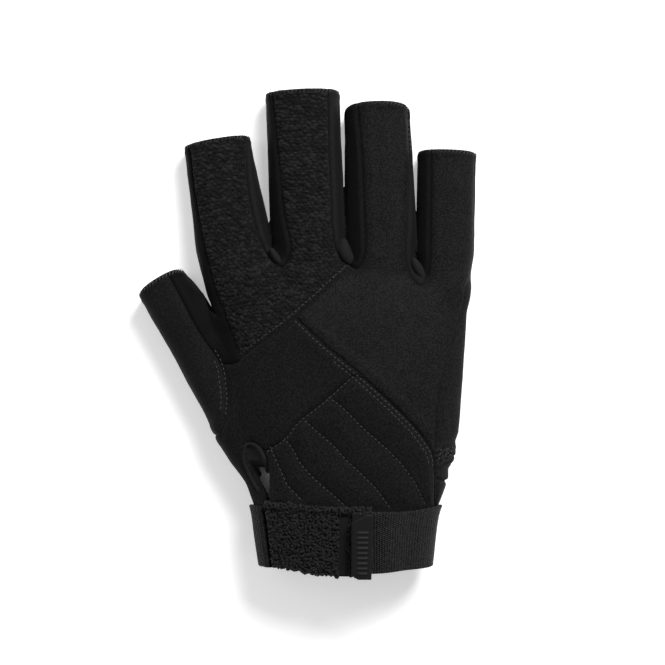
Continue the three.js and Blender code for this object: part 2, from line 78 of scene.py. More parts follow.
def add_node(tree, kind, links=(), **settings):
    """A node with its settings and its links: each link is an input's name and what feeds it."""
    node = tree.nodes.new(kind)
    for key, value in settings.items():
        if key in node.inputs:
            node.inputs[key].default_value = value
        else:
            setattr(node, key, value)
    for name, source in links:
        tree.links.new(source, node.inputs[name])
    return node


bpy.ops.mesh.primitive_plane_add(size=6)
floor = bpy.context.object
floor.name = "floor"
floor_material, floor_shader = new_material("white_acrylic_sheet", "#f7f7f7", 0.9)
floor_shader.inputs["Emission Color"].default_value = (1, 1, 1, 1)
floor_shader.inputs["Emission Strength"].default_value = 0.4
floor.data.materials.append(floor_material)
studio = bpy.data.worlds.new("studio")
studio.use_nodes = True
studio.node_tree.nodes["Background"].inputs["Color"].default_value = (1, 1, 1, 1)
studio.node_tree.nodes["Background"].inputs["Strength"].default_value = 0.33
bpy.context.scene.world = studio
bpy.context.scene.view_settings.view_transform = "Standard"


def soft_light(name, place, size, power):
    """A square soft box that faces the glove."""
    lamp = bpy.data.objects.new(name, bpy.data.lights.new(name, "AREA"))
    lamp.data.size = size
    lamp.data.energy = power
    lamp.location = place
    lamp.rotation_euler = (Vector((0, 0, 0)) - Vector(place)).to_track_quat("-Z", "Y").to_euler()
    bpy.context.collection.objects.link(lamp)


soft_light("overhead", (0.5, 0.85, 1.0), 0.6, 22.5)
soft_light("left_fill", (-1.0, 0.3, 1.1), 0.9, 2.5)


# The form that all the panels share. The glove keeps the shape of a hand: one flattened body and
# five tubes, of 2 mm neoprene and cloth, sewn together inside out and turned. It is worked out in
# millimetres from the same named sizes as the solids.
hand_breadth = 111.0
hand_length = 137.0
hand_depth = 30.0
wall = 2.0
palm_sink = 0.6
strap_stack = 1.9
top_roundness = 2.3
under_roundness = 3.2
web_rounding = 5.0
thumb_rounding = 9.0

hand_sections = np.array([
    # along, thumb side, little side, top, raise, turn
    (-0.7, -0.285, 0.291, 1.0, 1, 0),
    (-0.595, -0.305, 0.311, 1.0, 1, 0),
    (-0.482, -0.326, 0.325, 1.03, 1, 0),
    (-0.42, -0.333, 0.336, 1.05, 1, 0),
    (-0.385, -0.352, 0.361, 1.05, 0.9, 0),
    (-0.345, -0.366, 0.378, 1.04, 0.6, 0),
    (-0.248, -0.437, 0.415, 1.0, 0.15, 0),
    (-0.176, -0.468, 0.426, 0.99, 0, 0),
    (-0.05, -0.462, 0.438, 0.97, 0, 0),
    (0.09, -0.475, 0.449, 0.92, 0, 0),
    (0.19, -0.505, 0.456, 0.85, 0, -2),
    (0.26, -0.53, 0.462, 0.76, 0, -4.5),
    (0.3, -0.53, 0.464, 0.69, 0, -7.5),
    (0.322, -0.51, 0.45, 0.58, 0, -7.5),
])
digits = {
    # root x and y, lean, length, buried run, buried, root and tip width, and the same for depth
    "index": (-46.3, 52.1, 9.3, 43, 20, 25.1, 31.4, 27.2, 21.5, 20.5, 18),
    "middle": (-15.3, 56.0, 2.4, 59, 20, 24.6, 30.8, 30.2, 22.5, 21.5, 19),
    "ring": (15.0, 54.0, 1.7, 53.5, 20, 24.2, 30.2, 26.8, 21.5, 20.5, 18),
    "little": (41.5, 48.0, -1.5, 42, 20, 19.4, 24.2, 24.0, 20.5, 19.5, 16.5),
    "thumb": (-42.0, -21.4, 31, 66.5, 15, 20.3, 25.4, 21.0, 18, 21, 19),
}
hem_arch = {"index": 1.5, "middle": 1.5, "ring": 4.0, "little": 1.5, "thumb": 3.0}

grid_y = np.arange(-0.7 * hand_length, 0.5 * hand_length, 0.5)
ease = np.exp(-0.5 * (np.arange(-24, 25) * 0.5 / 3.5) ** 2)
ease /= ease.sum()


def eased_column(column):
    """A column of the sections along the hand, with its corners rounded off."""
    raw = np.interp(grid_y, hand_sections[:, 0] * hand_length, hand_sections[:, column])
    return np.convolve(np.pad(raw, 24, mode="edge"), ease, mode="valid")


eased = [eased_column(column) for column in range(1, 6)]


def hand_at(y):
    """Middle, half width, top, floor and slope of the hand's section at y."""
    thumb_side, little_side, top, lift, turn = [np.interp(y, grid_y, row) for row in eased]
    return ((thumb_side + little_side) / 2 * hand_breadth,
            (little_side - thumb_side) / 2 * hand_breadth,
            top * hand_depth,
            lift * strap_stack - (1 - lift) * palm_sink,
            np.tan(np.radians(turn)))


def rounded_distance(across, height, half_width, low, high):
    """About how far a point is outside a section with a round top and a flatter underside."""
    half_height = (high - low) / 2
    up = height - (high + low) / 2
    power = np.where(up > 0, top_roundness, under_roundness)
    reach = np.abs(across / half_width) ** power + np.abs(up / half_height) ** power
    reach = np.maximum(reach ** (1 / power), 1e-3)
    return (1 - 1 / reach) * np.hypot(across, up)


def smooth_min(a, b, k):
    """The lesser of two distances, with the corner between them rounded over k millimetres."""
    h = np.maximum(k - np.abs(a - b), 0) / k
    return np.minimum(a, b) - h * h * k / 4


def smooth_max(a, b, k):
    """The greater of two distances, rounded the same way."""
    return -smooth_min(-a, -b, k)


web_end = 0.325 * hand_length


def hand_field(p):
    """About how far points are outside the hand, without its digits."""
    x, y, z = p.T
    middle, _, _, _, slope = hand_at(y)
    along = y - (x - middle) * slope
    middle, half, top, low, slope = hand_at(along)
    field = rounded_distance(x - middle, z, half, low, top)
    return smooth_max(field, along - web_end, 8.0)


def digit_frame(p, name, extra_lean=0.0):
    """Across, along and up of points in a digit's own directions, from its root."""
    x0, y0, lean = digits[name][:3]
    turn = math.radians(lean + extra_lean)
    dx, dy = p[:, 0] - x0, p[:, 1] - y0
    return (dx * math.cos(turn) + dy * math.sin(turn),
            -dx * math.sin(turn) + dy * math.cos(turn), p[:, 2])


def digit_place(name, across, along, z, extra_lean=0.0):
    """The other way round: points of the glove from a digit's own directions."""
    x0, y0, lean = digits[name][:3]
    turn = math.radians(lean + extra_lean)
    return np.stack([x0 + across * math.cos(turn) - along * math.sin(turn),
                     y0 + across * math.sin(turn) + along * math.cos(turn), z], axis=1)


def digit_size(name, along):
    """Half width, top and floor of a digit at a distance from its root."""
    length, run, w0, w1, w2, d0, d1, d2 = digits[name][3:]
    stops = [-run, 0, 0.5 * length, length]
    width = np.interp(along, stops, [w0, w1, 0.4 * w1 + 0.6 * w2, w2])
    top = np.interp(along, stops, [d0, d1, 0.6 * d1 + 0.4 * d2, d2])
    low = np.interp(along, [-run, -0.4 * run, 0], [wall, -0.5 * palm_sink, -palm_sink])
    return width / 2, top, low


def digit_field(p, name, extra_lean=0.0):
    """About how far points are outside a digit's tube."""
    across, along, z = digit_frame(p, name, extra_lean)
    half, top, low = digit_size(name, along)
    field = rounded_distance(across, z, half, low, top)
    return smooth_max(field, -along - digits[name][4], 6.0)


def skin_field(p, name):
    """The outside of the hand, or of the hand joined to one digit. The table flattens it."""
    field = hand_field(p)
    if name:
        rounding = thumb_rounding if name == "thumb" else web_rounding
        field = smooth_min(field, digit_field(p, name), rounding)
    return smooth_max(field, -p[:, 2], 1.2)


# A rough skin of overlapping tubes is merged into one surface by a voxel remesh. The fingers are
# fanned out for that, so that the narrow gaps between them stay open, and are turned back after.
fan = {"index": 5.0, "middle": 1.7, "ring": -1.7, "little": -5.5, "thumb": 6.0}
voxel = 0.95


def grid_quads(rows, columns, ring=False, loop=False):
    """The faces of a grid of points. Its columns may close to a ring, and its rows to a loop."""
    i, j = np.meshgrid(np.arange(rows - (not loop)), np.arange(columns - (not ring)), indexing="ij")
    a, b, up = i * columns + j, i * columns + (j + 1) % columns, ((i + 1) % rows - i) * columns
    return np.stack([a, b, b + up, a + up], axis=-1).reshape(-1, 4)


def tube_mesh(rings):
    """A tube through rings of points, closed at both ends."""
    rings = np.asarray(rings)
    sides, count = rings.shape[1], rings.shape[0] * rings.shape[1]
    one = np.arange(sides)
    two = (one + 1) % sides
    start = np.stack([two, one, 0 * one + count], axis=1)
    end = np.stack([one + count - sides, two + count - sides, 0 * one + count + 1], axis=1)
    return (np.vstack([rings.reshape(-1, 3), rings[0].mean(axis=0), rings[-1].mean(axis=0)]),
            grid_quads(len(rings), sides, ring=True).tolist() + start.tolist() + end.tolist())


def section_ring(half_width, low, high, sides=72):
    """Across and up of places round a section, whose top is rounder than its underside."""
    turn = np.arange(sides) * 2 * math.pi / sides
    power = np.where(np.sin(turn) > 0, top_roundness, under_roundness)
    c, s = np.cos(turn), np.sin(turn)
    return (half_width * np.sign(c) * np.abs(c) ** (2 / power),
            (low + high) / 2 + (high - low) / 2 * np.sign(s) * np.abs(s) ** (2 / power))


def turn_outwards(mesh):
    """Turns all faces of a closed mesh outwards."""
    shape = bmesh.new()
    shape.from_mesh(mesh)
    bmesh.ops.recalc_face_normals(shape, faces=shape.faces)
    shape.to_mesh(mesh)
    shape.free()


def joined_rough_skin():
    """The tubes of the hand and of the fanned-out digits, merged into one skin of triangles."""
    rings = []
    for y in np.linspace(-0.595 * hand_length - 5, web_end, 90):
        middle, half, top, low, slope = [float(v) for v in hand_at(y)]
        u, z = section_ring(half, low, top)
        rings.append(np.stack([middle + u, y + u * slope, z], axis=1))
    tubes = [tube_mesh(rings)]
    for name, values in digits.items():
        rings = []
        for along in np.linspace(-values[4], values[3] + 8, 60):
            half, top, low = [float(v) for v in digit_size(name, along)]
            u, z = section_ring(half, low, top)
            rings.append(digit_place(name, u, along, z, fan[name]))
        tubes.append(tube_mesh(rings))
    places, tube_faces = [], []
    for tube_places, quads in tubes:
        tube_faces += [[i + len(places) for i in quad] for quad in quads]
        places += tube_places.tolist()
    mesh = bpy.data.meshes.new("rough_skin")
    mesh.from_pydata(places, [], tube_faces)
    turn_outwards(mesh)
    holder = bpy.data.objects.new("rough_skin", mesh)
    bpy.context.collection.objects.link(holder)
    remesh = holder.modifiers.new("merge", "REMESH")
    remesh.mode = "VOXEL"
    remesh.voxel_size = voxel
    merged = bpy.data.meshes.new_from_object(
        holder.evaluated_get(bpy.context.evaluated_depsgraph_get()))
    bpy.data.objects.remove(holder)
    triangles = bmesh.new()
    triangles.from_mesh(merged)
    bmesh.ops.triangulate(triangles, faces=triangles.faces)
    points = np.array([v.co for v in triangles.verts])
    faces = np.array([[v.index for v in f.verts] for f in triangles.faces])
    triangles.free()
    return points, faces


points, faces = joined_rough_skin()
names = list(digits)
owner = np.argmin([digit_field(points, name, fan[name]) for name in names], axis=0)
apart = np.clip(hand_field(points) / 5, 0, 1)
apart = (apart * apart * (3 - 2 * apart))[:, None]
for i, name in enumerate(names):
    mine = owner == i
    back = digit_place(name, *digit_frame(points[mine], name, fan[name]))
    points[mine] += apart[mine] * (back - points[mine])


def slope_of(field, p, step=0.05):
    """The slope of a field at points, from a step to each side of them."""
    return np.stack([(field(p + shift) - field(p - shift)) / (2 * step)
                     for shift in np.eye(3) * step], axis=1)


# Each point then moves straight onto the skin of the hand and of its own digit.
settling_rounds = 6
for _ in range(settling_rounds):
    for i, name in enumerate(names):
        p = points[owner == i]
        slope = slope_of(lambda q: skin_field(q, name), p)
        length = np.maximum((slope ** 2).sum(axis=1), 0.05)
        points[owner == i] = p - np.clip(skin_field(p, name) / length, -1.5, 1.5)[:, None] * slope


# Where two digits lie against each other, both are pressed flat along the line between them.
def lead(p, name, beside):
    """How much farther points are from their own digit than from the one beside it."""
    return digit_field(p, name) - digit_field(p, beside)


hair_gap = 0.25
pressing_rounds = 5
neighbours = (("index", "middle"), ("middle", "ring"), ("ring", "little"), ("thumb", "index"))
for _ in range(pressing_rounds):
    for name, beside in [order for pair in neighbours for order in (pair, pair[::-1])]:
        mine = owner == names.index(name)
        p = points[mine]
        slope = slope_of(lambda q: lead(q, name, beside), p)
        push = np.clip(lead(p, name, beside) + hair_gap, 0, 2) * np.clip(hand_field(p) / 3, 0, 1)
        points[mine] = p - (push / np.maximum((slope ** 2).sum(axis=1), 0.3))[:, None] * slope


# Where the panels meet, seen from above, in shares of the hand's breadth and length. The pieces
# were cut to these lines, so every seam on the glove is one of them.
def seam_curve(rows, steps=12):
    """A smooth line through a table's places, in millimetres."""
    p = np.array(rows) * (hand_breadth, hand_length)
    p = np.vstack([2 * p[0] - p[1], p, 2 * p[-1] - p[-2]])
    t = np.linspace(0, 1, steps, endpoint=False)[:, None]
    runs = []
    for a, b, c, d in zip(p, p[1:], p[2:], p[3:]):
        runs.append(0.5 * (2 * b + (c - a) * t + (2 * a - 5 * b + 4 * c - d) * t ** 2
                           + (3 * b - a - 3 * c + d) * t ** 3))
    return np.vstack(runs + [p[-2:-1]])


knit_line = seam_curve([(-0.393, 0.033), (-0.187, 0.161), (0.019, 0.312)])
neoprene_line = seam_curve([(-0.187, 0.161), (-0.071, 0.073), (0.056, -0.012), (0.239, -0.151),
                            (0.318, -0.233), (0.336, -0.276)])
pad_line = seam_curve([(-0.295, -0.242), (-0.224, -0.203), (-0.176, -0.154), (-0.082, -0.094),
                       (0.026, -0.015)])
outer_line = seam_curve([(0.6, 0.3), (0.465, 0.27), (0.44, 0.2), (0.4, 0.091), (0.348, -0.076),
                         (0.336, -0.264), (0.34, -0.4), (0.3, -0.7)])
gusset_line = seam_curve([(-0.6, 0.85), (-0.583, 0.676), (-0.561, 0.53), (-0.531, 0.394),
                          (-0.49, 0.257), (-0.46, 0.182), (-0.426, 0.106), (-0.393, 0.033),
                          (-0.434, 0.018)])
thumb_line = seam_curve([(-0.7, 0.36), (-0.662, 0.294), (-0.602, 0.203), (-0.561, 0.139),
                         (-0.475, 0.027), (-0.456, -0.042), (-0.452, -0.109), (-0.48, -0.2),
                         (-0.6, -0.22)])
web_lines = {
    "index_middle": seam_curve([(-0.36, 0.76), (-0.366, 0.624), (-0.351, 0.503), (-0.303, 0.37),
                                (-0.235, 0.312), (-0.202, 0.37), (-0.228, 0.47),
                                (-0.254, 0.676), (-0.28, 0.9)]),
    "middle_ring": seam_curve([(-0.064, 0.9), (-0.06, 0.709), (-0.052, 0.539), (-0.045, 0.415),
                               (-0.022, 0.352), (0.041, 0.307), (0.073, 0.35), (0.071, 0.479),
                               (0.06, 0.663), (0.038, 0.87)]),
    "ring_little": seam_curve([(0.237, 0.87), (0.243, 0.618), (0.232, 0.46), (0.228, 0.333),
                               (0.275, 0.259), (0.312, 0.3), (0.318, 0.46), (0.32, 0.579),
                               (0.318, 0.75)]),
}
seam_heights = np.array([(-0.7, 0.72, 0.27), (-0.25, 0.66, 0.2), (0.1, 0.55, 0.17),
                         (0.3, 0.4, 0.16), (1, 0.38, 0.16)])
cuff_end = -0.595 * hand_length
far = 400.0

slit_length = 20.5
slit_width = 5.6
slit_lean = 14
slit_middle = np.array([-0.325 * hand_breadth, -0.306 * hand_length])
binding_width = 1.9
cuff_cut = 1.6


def slit_outline(grow):
    """The drop-shaped slit at the wrist, with its point towards the cuff."""
    drop = seam_curve([(0, -1), (-0.62, -0.3), (-1, 0.45), (-0.62, 0.92), (0, 1), (0.68, 0.78),
                       (0.95, 0.2), (0.62, -0.4), (0, -1)])[:-1] / (hand_breadth, hand_length)
    drop = drop * (slit_width / 2 + grow, slit_length / 2 + grow)
    turn = math.radians(slit_lean)
    return slit_middle + np.stack([drop[:, 0] * math.cos(turn) - drop[:, 1] * math.sin(turn),
                                   drop[:, 0] * math.sin(turn) + drop[:, 1] * math.cos(turn)],
                                  axis=1)


slit_point = slit_outline(0)[0]
cuff_line = np.array([slit_point, (-0.265 * hand_breadth, cuff_end),
                      (-0.244 * hand_breadth, 2 * cuff_end)])


def from_run(x, y, start, end):
    """Squared distance of places from one straight run of a line, seen from above."""
    (ax, ay), (bx, by) = start, end
    dx, dy = bx - ax, by - ay
    t = np.clip(((x - ax) * dx + (y - ay) * dy) / max(dx * dx + dy * dy, 1e-12), 0, 1)
    return (x - ax - t * dx) ** 2 + (y - ay - t * dy) ** 2


def inside_distance(p, outline):
    """Distance of points from an outline seen from above: positive inside it."""
    x, y = p[:, 0], p[:, 1]
    nearest = np.full(len(p), np.inf)
    inside = np.zeros(len(p), bool)
    for (ax, ay), (bx, by) in zip(outline, np.roll(outline, -1, axis=0)):
        nearest = np.minimum(nearest, from_run(x, y, (ax, ay), (bx, by)))
        if ay != by:
            inside ^= ((ay > y) != (by > y)) & (x < ax + (y - ay) * (bx - ax) / (by - ay))
    return np.where(inside, 1, -1) * np.sqrt(nearest)


def row_distance(p, rows, reach=6):
    """Distance of points from the nearest of some rows, seen from above, up to a reach."""
    nearest = np.full(len(p), 1e6)
    for row in rows:
        low, high = row.min(axis=0) - reach, row.max(axis=0) + reach
        near = np.flatnonzero(((p[:, :2] > low) & (p[:, :2] < high)).all(axis=1))
        x, y = p[near, 0], p[near, 1]
        for start, end in zip(row, row[1:]):
            nearest[near] = np.minimum(nearest[near], from_run(x, y, start, end))
    return np.sqrt(nearest)


def area(*runs):
    """An outline put together from lines and single places."""
    return np.vstack([np.atleast_2d(run) for run in runs])


wrist_right = (neoprene_line[-1][0], 2 * cuff_end)
above_gusset = thumb_line[thumb_line[:, 1] > gusset_line[-1][1]]
areas = {
    **{name: area((line[0][0], hand_length), line, (line[-1][0], hand_length))
       for name, line in web_lines.items()},
    "thumb": area(thumb_line, (-0.3 * far, -0.08 * far), (-0.3 * far, 0.2 * far)),
    "gusset": area(gusset_line, above_gusset[::-1], (thumb_line[0][0], gusset_line[0][1])),
    "outer": area(outer_line, (far, -far), (far, 0.2 * far)),
    "leg": area((-far, -0.2 * hand_length), (-0.314 * hand_breadth, -0.2 * hand_length),
                cuff_line, (-far, -far)),
    "knit": area(knit_line, (0, 0.4 * hand_length), (0, hand_length), (-far, hand_length),
                 (-far, knit_line[0][1])),
    "neoprene": area(neoprene_line, wrist_right, (far, -far), (far, far), (0, far),
                     (0, 0.4 * hand_length), knit_line[-1:]),
    "pad": area((slit_point[0], pad_line[0][1]), pad_line,
                neoprene_line[neoprene_line[:, 1] < pad_line[-1][1]], wrist_right,
                cuff_line[::-1]),
}


def seam_height(y, column):
    """How high the side strips end at y: at the back in column 1, at the palm in column 2."""
    return hand_depth * np.interp(y, seam_heights[:, 0] * hand_length, seam_heights[:, column])


def hem_distance(p, owner):
    """How far points are past the open end of their digit."""
    past = np.empty(len(p))
    for i, name in enumerate(names):
        mine = owner == i
        across, along, z = digit_frame(p[mine], name)
        half, top, low = digit_size(name, along)
        up = np.clip((2 * z - top - low) / (top - low), 0, 1) ** (2 / top_roundness)
        past[mine] = along - digits[name][3] - hem_arch[name] * up
    return past


def edges_of(faces, count):
    """The edges of triangles, where each triangle's edges are in that list, and how many use it."""
    pairs = np.sort(faces[:, [0, 1, 1, 2, 2, 0]].reshape(-1, 2), axis=1).astype(np.int64)
    codes, place, uses = np.unique(pairs[:, 0] * count + pairs[:, 1], return_inverse=True,
                                   return_counts=True)
    return np.stack([codes // count, codes % count], axis=1), place.reshape(-1, 3), uses


# Each seam cuts the skin along its own line: a corner close to the line moves onto it, and the
# triangles that still cross it are divided there.
def cut_along(points, owner, faces, distance_of, snap=0.28):
    """Divides the triangles at the zero line of a distance. Returns the new skin."""
    g = distance_of(points, owner)
    edges = edges_of(faces, len(points))[0]
    crossing = edges[g[edges[:, 0]] * g[edges[:, 1]] < 0]
    share = g[crossing[:, 0]] / (g[crossing[:, 0]] - g[crossing[:, 1]])
    points, moved = points.copy(), np.zeros(len(points), bool)
    order = np.argsort(np.minimum(share, 1 - share))
    for (a, b), t in zip(crossing[order], share[order]):
        near, part = (a, t) if t < 0.5 else (b, 1 - t)
        if part > snap:
            break
        if not moved[a] and not moved[b]:
            points[near] += part * (points[b if near == a else a] - points[near])
            moved[near] = True
            g[near] = 0
    g[np.abs(g) < 1e-6] = 0
    crossing = edges[g[edges[:, 0]] * g[edges[:, 1]] < 0]
    share = g[crossing[:, 0]] / (g[crossing[:, 0]] - g[crossing[:, 1]])
    added = points[crossing[:, 0]] + share[:, None] * (points[crossing[:, 1]]
                                                       - points[crossing[:, 0]])
    owner = np.concatenate([owner, owner[crossing[:, 0]]])
    middle = {tuple(edge): len(points) + i for i, edge in enumerate(crossing.tolist())}
    points = np.vstack([points, added])
    side = np.sign(g)[faces]
    split = (side.min(axis=1) < 0) & (side.max(axis=1) > 0)
    made = []
    for (a, b, c), (sa, sb, sc) in zip(faces[split].tolist(), side[split].tolist()):
        for _ in range(3):
            if sa == 0 or (sa * sb < 0 and sa * sc < 0):
                break
            a, b, c, sa, sb, sc = b, c, a, sb, sc, sa
        if sa == 0:
            m = middle[(min(b, c), max(b, c))]
            made += [(a, b, m), (a, m, c)]
        else:
            m, n = middle[(min(a, b), max(a, b))], middle[(min(a, c), max(a, c))]
            made += [(a, m, n), (m, b, c), (m, c, n)]
    return points, owner, np.vstack([faces[~split], np.array(made, int).reshape(-1, 3)])


cuts = [
    hem_distance,
    lambda p, o: p[:, 1] - cuff_end,
    lambda p, o: p[:, 2] - seam_height(p[:, 1], 1),
    lambda p, o: p[:, 2] - seam_height(p[:, 1], 2),
    lambda p, o: inside_distance(p, slit_outline(binding_width)),
    lambda p, o: cuff_cut / 2 - row_distance(p, [cuff_line]),
] + [lambda p, o, outline=outline: inside_distance(p, outline) for outline in areas.values()]
for cut in cuts:
    points, owner, faces = cut_along(points, owner, faces, cut)

# Each triangle then goes to the first piece that claims it. What is past a hem, in the slit or in
# the cuff's cut goes to none.
centre = points[faces].mean(axis=1)
face_owner = owner[faces[:, 0]]
inside = {name: inside_distance(centre, outline) > 0 for name, outline in areas.items()}
in_slit = (inside_distance(centre, slit_outline(binding_width)) > 0) \
    | (row_distance(centre, [cuff_line]) < cuff_cut / 2)
on_palm = centre[:, 2] < seam_height(centre[:, 1], 2)
cut_off = (hem_distance(centre, face_owner) > 0) | (centre[:, 1] < cuff_end) | (in_slit & ~on_palm)
on_back = (centre[:, 2] > seam_height(centre[:, 1], 1)) | inside["leg"]
right_half = np.select([face_owner == i for i in range(5)],
                       [digit_frame(centre, name)[0] for name in names]) > 0
strips = ["thumb_index_gusset", *("fourchette_" + name for name in web_lines), "outer_side_panel"]
sides = [*zip(strips, strips[1:]), ("thumb_panel", "thumb_index_gusset")]
claims = [
    ("palm_panel", on_palm),
    ("thumb_panel", inside["thumb"] & ~inside["leg"]),
    ("thumb_index_gusset", inside["gusset"]),
    *(("fourchette_" + name, inside[name]) for name in web_lines),
    ("outer_side_panel", inside["outer"]),
    ("knit_back_panel", on_back & inside["knit"]),
    ("neoprene_back_panel", on_back & inside["neoprene"]),
    ("wrist_back_pad", on_back & inside["pad"]),
    ("hand_back_panel", on_back),
    *((name, (face_owner == i) & (right_half == half))
      for i, pair in enumerate(sides) for half, name in enumerate(pair)),
]
panel_names = sorted({name for name, _ in claims})
label = np.full(len(faces), -1)
for name, where in claims:
    label[where & (label < 0) & ~cut_off] = panel_names.index(name)


# The topstitching seen from above. Single and double rows of polyester thread hold the seams flat,
# and four curved rows quilt the pad on the wrist.
def from_seam(line, aside, start=0.0, end=1.0):
    """A row beside a seam, on its left for a positive distance."""
    along = np.gradient(line, axis=0)
    along /= np.linalg.norm(along, axis=1, keepdims=True)
    row = line + np.stack([-along[:, 1], along[:, 0]], axis=1) * aside
    steps = np.linspace(start, end, 60) * (len(row) - 1)
    return np.stack([np.interp(steps, np.arange(len(row)), row[:, k]) for k in (0, 1)], axis=1)


def drawn_row(*places):
    """A row through places in millimetres."""
    return seam_curve(np.array(places) / (hand_breadth, hand_length))


down_to_cuff = area(neoprene_line, (neoprene_line[-1][0], -56))
stitch_rows = {
    "knit_seam": from_seam(knit_line, 1.5, 0.03, 0.97),
    "neoprene_seam": from_seam(down_to_cuff, -1.3, 0.02, 0.985),
    "pad_edge": from_seam(down_to_cuff, -3.0, 0.28, 0.975),
    "pad_top": from_seam(pad_line, -0.7, 0.02, 0.96),
    "thumb_inner": from_seam(thumb_line, 1.2, 0.47, 0.78),
    "thumb_outer": from_seam(thumb_line, -1.3, 0.5, 0.76),
    "side_gather": drawn_row((38.2, -38.2), (39.8, -32.8), (40.7, -37.4), (42.3, -32.0),
                             (42.7, -36.5), (44.4, -32.0)),
    "ring_edge": drawn_row((25.6, 107.5), (26.4, 100.0), (27.2, 91.5)),
    "quilt_1": drawn_row((-6.6, -11.4), (-1.2, -15.4), (7.5, -24.1), (13.7, -29.5),
                         (19.9, -35.3), (25.3, -41.5), (29.5, -48.1), (32.6, -54.8)),
    "quilt_2": drawn_row((-16.2, -21.2), (-11.6, -25.3), (-5.4, -30.7), (0.8, -37.4),
                         (7.5, -43.6), (12.5, -48.6), (18.0, -56.0)),
    "quilt_3": drawn_row((-24.9, -28.2), (-21.2, -33.2), (-18.3, -38.6), (-11.6, -45.7),
                         (-5.4, -51.0), (0.4, -56.2)),
    "quilt_4": drawn_row((-30.7, -31.8), (-29.5, -34.9), (-26.1, -42.3), (-23.7, -47.3),
                         (-18.6, -52.7)),
}


# The knitted back of the index and middle fingers: black polyester with staggered raised bumps,
# about 2 mm apart, so it grips and stretches. It is the first panel, so what all panels share, the
# turned seams, the wall and the wear, stands here. Each is cut out and its edges roll inwards.
turned_edge, roll_depth, padded_edge = 1.5, 0.85, 0.22
hem_turn, hem_rise, stitch_sink = 0.5, 0.2, 0.28
cloth_wall = 1.7
fold_spread, fold_depths = 3.6, ((-29.5, 0.9), (-41.0, 1.05))
side_starts_at = 37
thumb_valley = np.array([(-53, 14), (-51, 0), (-46, -18), (-40, -36), (-37, -50)])
valley_depth, valley_width = 2.9, 7.0


def skin_direction(points, owner):
    """The way out of the skin at each point."""
    slope = np.empty((len(points), 3))
    for i, name in enumerate(names):
        slope[owner == i] = slope_of(lambda q: skin_field(q, name), points[owner == i], 0.4)
    return slope / np.maximum(np.linalg.norm(slope, axis=1, keepdims=True), 1e-9)


def finer(points, owner, faces):
    """Each triangle as four. The old corners keep their places in the list."""
    edges, place, _ = edges_of(faces, len(points))
    m = place + len(points)
    a, b, c = faces.T
    quarters = np.vstack([np.stack(q, axis=1) for q in (
        (a, m[:, 0], m[:, 2]), (b, m[:, 1], m[:, 0]), (c, m[:, 2], m[:, 1]),
        (m[:, 0], m[:, 1], m[:, 2]))])
    return (np.vstack([points, points[edges].mean(axis=1)]),
            np.concatenate([owner, owner[edges[:, 0]]]), quarters)


def tree_of(spots):
    """A tree to find the nearest of some spots."""
    tree = KDTree(len(spots))
    for i, spot in enumerate(spots):
        tree.insert(spot, i)
    tree.balance()
    return tree


def distance_to(points, targets, reach=8.0):
    """Distance of points from the nearest target, up to a reach."""
    tree = tree_of(targets)
    return np.array([min(tree.find(q)[2], reach) for q in points])


def unevenness(points, size, seed=0.0):
    """Soft random values between about -1 and 1, with features of a size in millimetres."""
    return np.array([noise.noise(Vector((x / size + seed, y / size, z / size)))
                     for x, y, z in points])


def bell(distance, width):
    """1 at no distance, and softly down to 0 beyond the width."""
    return np.exp(-(distance / width) ** 2)


def in_place(name, mesh, node=None):
    """A finished mesh as a piece on the root, which may stand for a solid."""
    piece = bpy.data.objects.new(name, mesh)
    bpy.context.collection.objects.link(piece)
    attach(piece, "root")
    if node:
        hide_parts(node)
    return piece


def cloth_mesh(name, shape, faces, material, tone, crease, closed_by_hand=False):
    """A smooth mesh from places in millimetres, with its material, tone and sharp creases."""
    mesh = bpy.data.meshes.new(name)
    mesh.from_pydata((np.asarray(shape) / 1000).tolist(), [], [list(face) for face in faces])
    if closed_by_hand:
        turn_outwards(mesh)
    mesh.polygons.foreach_set("use_smooth", [True] * len(mesh.polygons))
    mesh.set_sharp_from_angle(angle=math.radians(crease))
    mesh.materials.append(material)
    mesh.attributes.new("tone", "FLOAT", "POINT").data.foreach_set("value", tone)
    return mesh


def solid_piece(name, node, outside, lining, faces, back_faces, rim, material, tone=None,
                run=None):
    """A closed piece with a wall, from its outer and inner skin, which stands for its solid."""
    count = len(outside)
    a, b, m = rim.T
    wall_faces = [(m, a, a + count), (m, a + count, b + count)]
    if not (m == b).all():
        wall_faces.append((b, m, b + count))
    triangles = np.vstack([faces, back_faces[:, ::-1] + count]
                          + [np.stack(f, axis=1) for f in wall_faces])
    tones = np.zeros(count + len(lining))
    if tone is not None:
        tones[:count] = tone
    mesh = cloth_mesh(name, np.vstack([outside, lining]), triangles.tolist(), material, tones, 55)
    if run is not None:
        corners = np.array([loop.vertex_index for loop in mesh.loops]) % count
        mesh.uv_layers.new(name="cloth").data.foreach_set("uv", run[corners].ravel())
    return in_place(name, mesh, node)


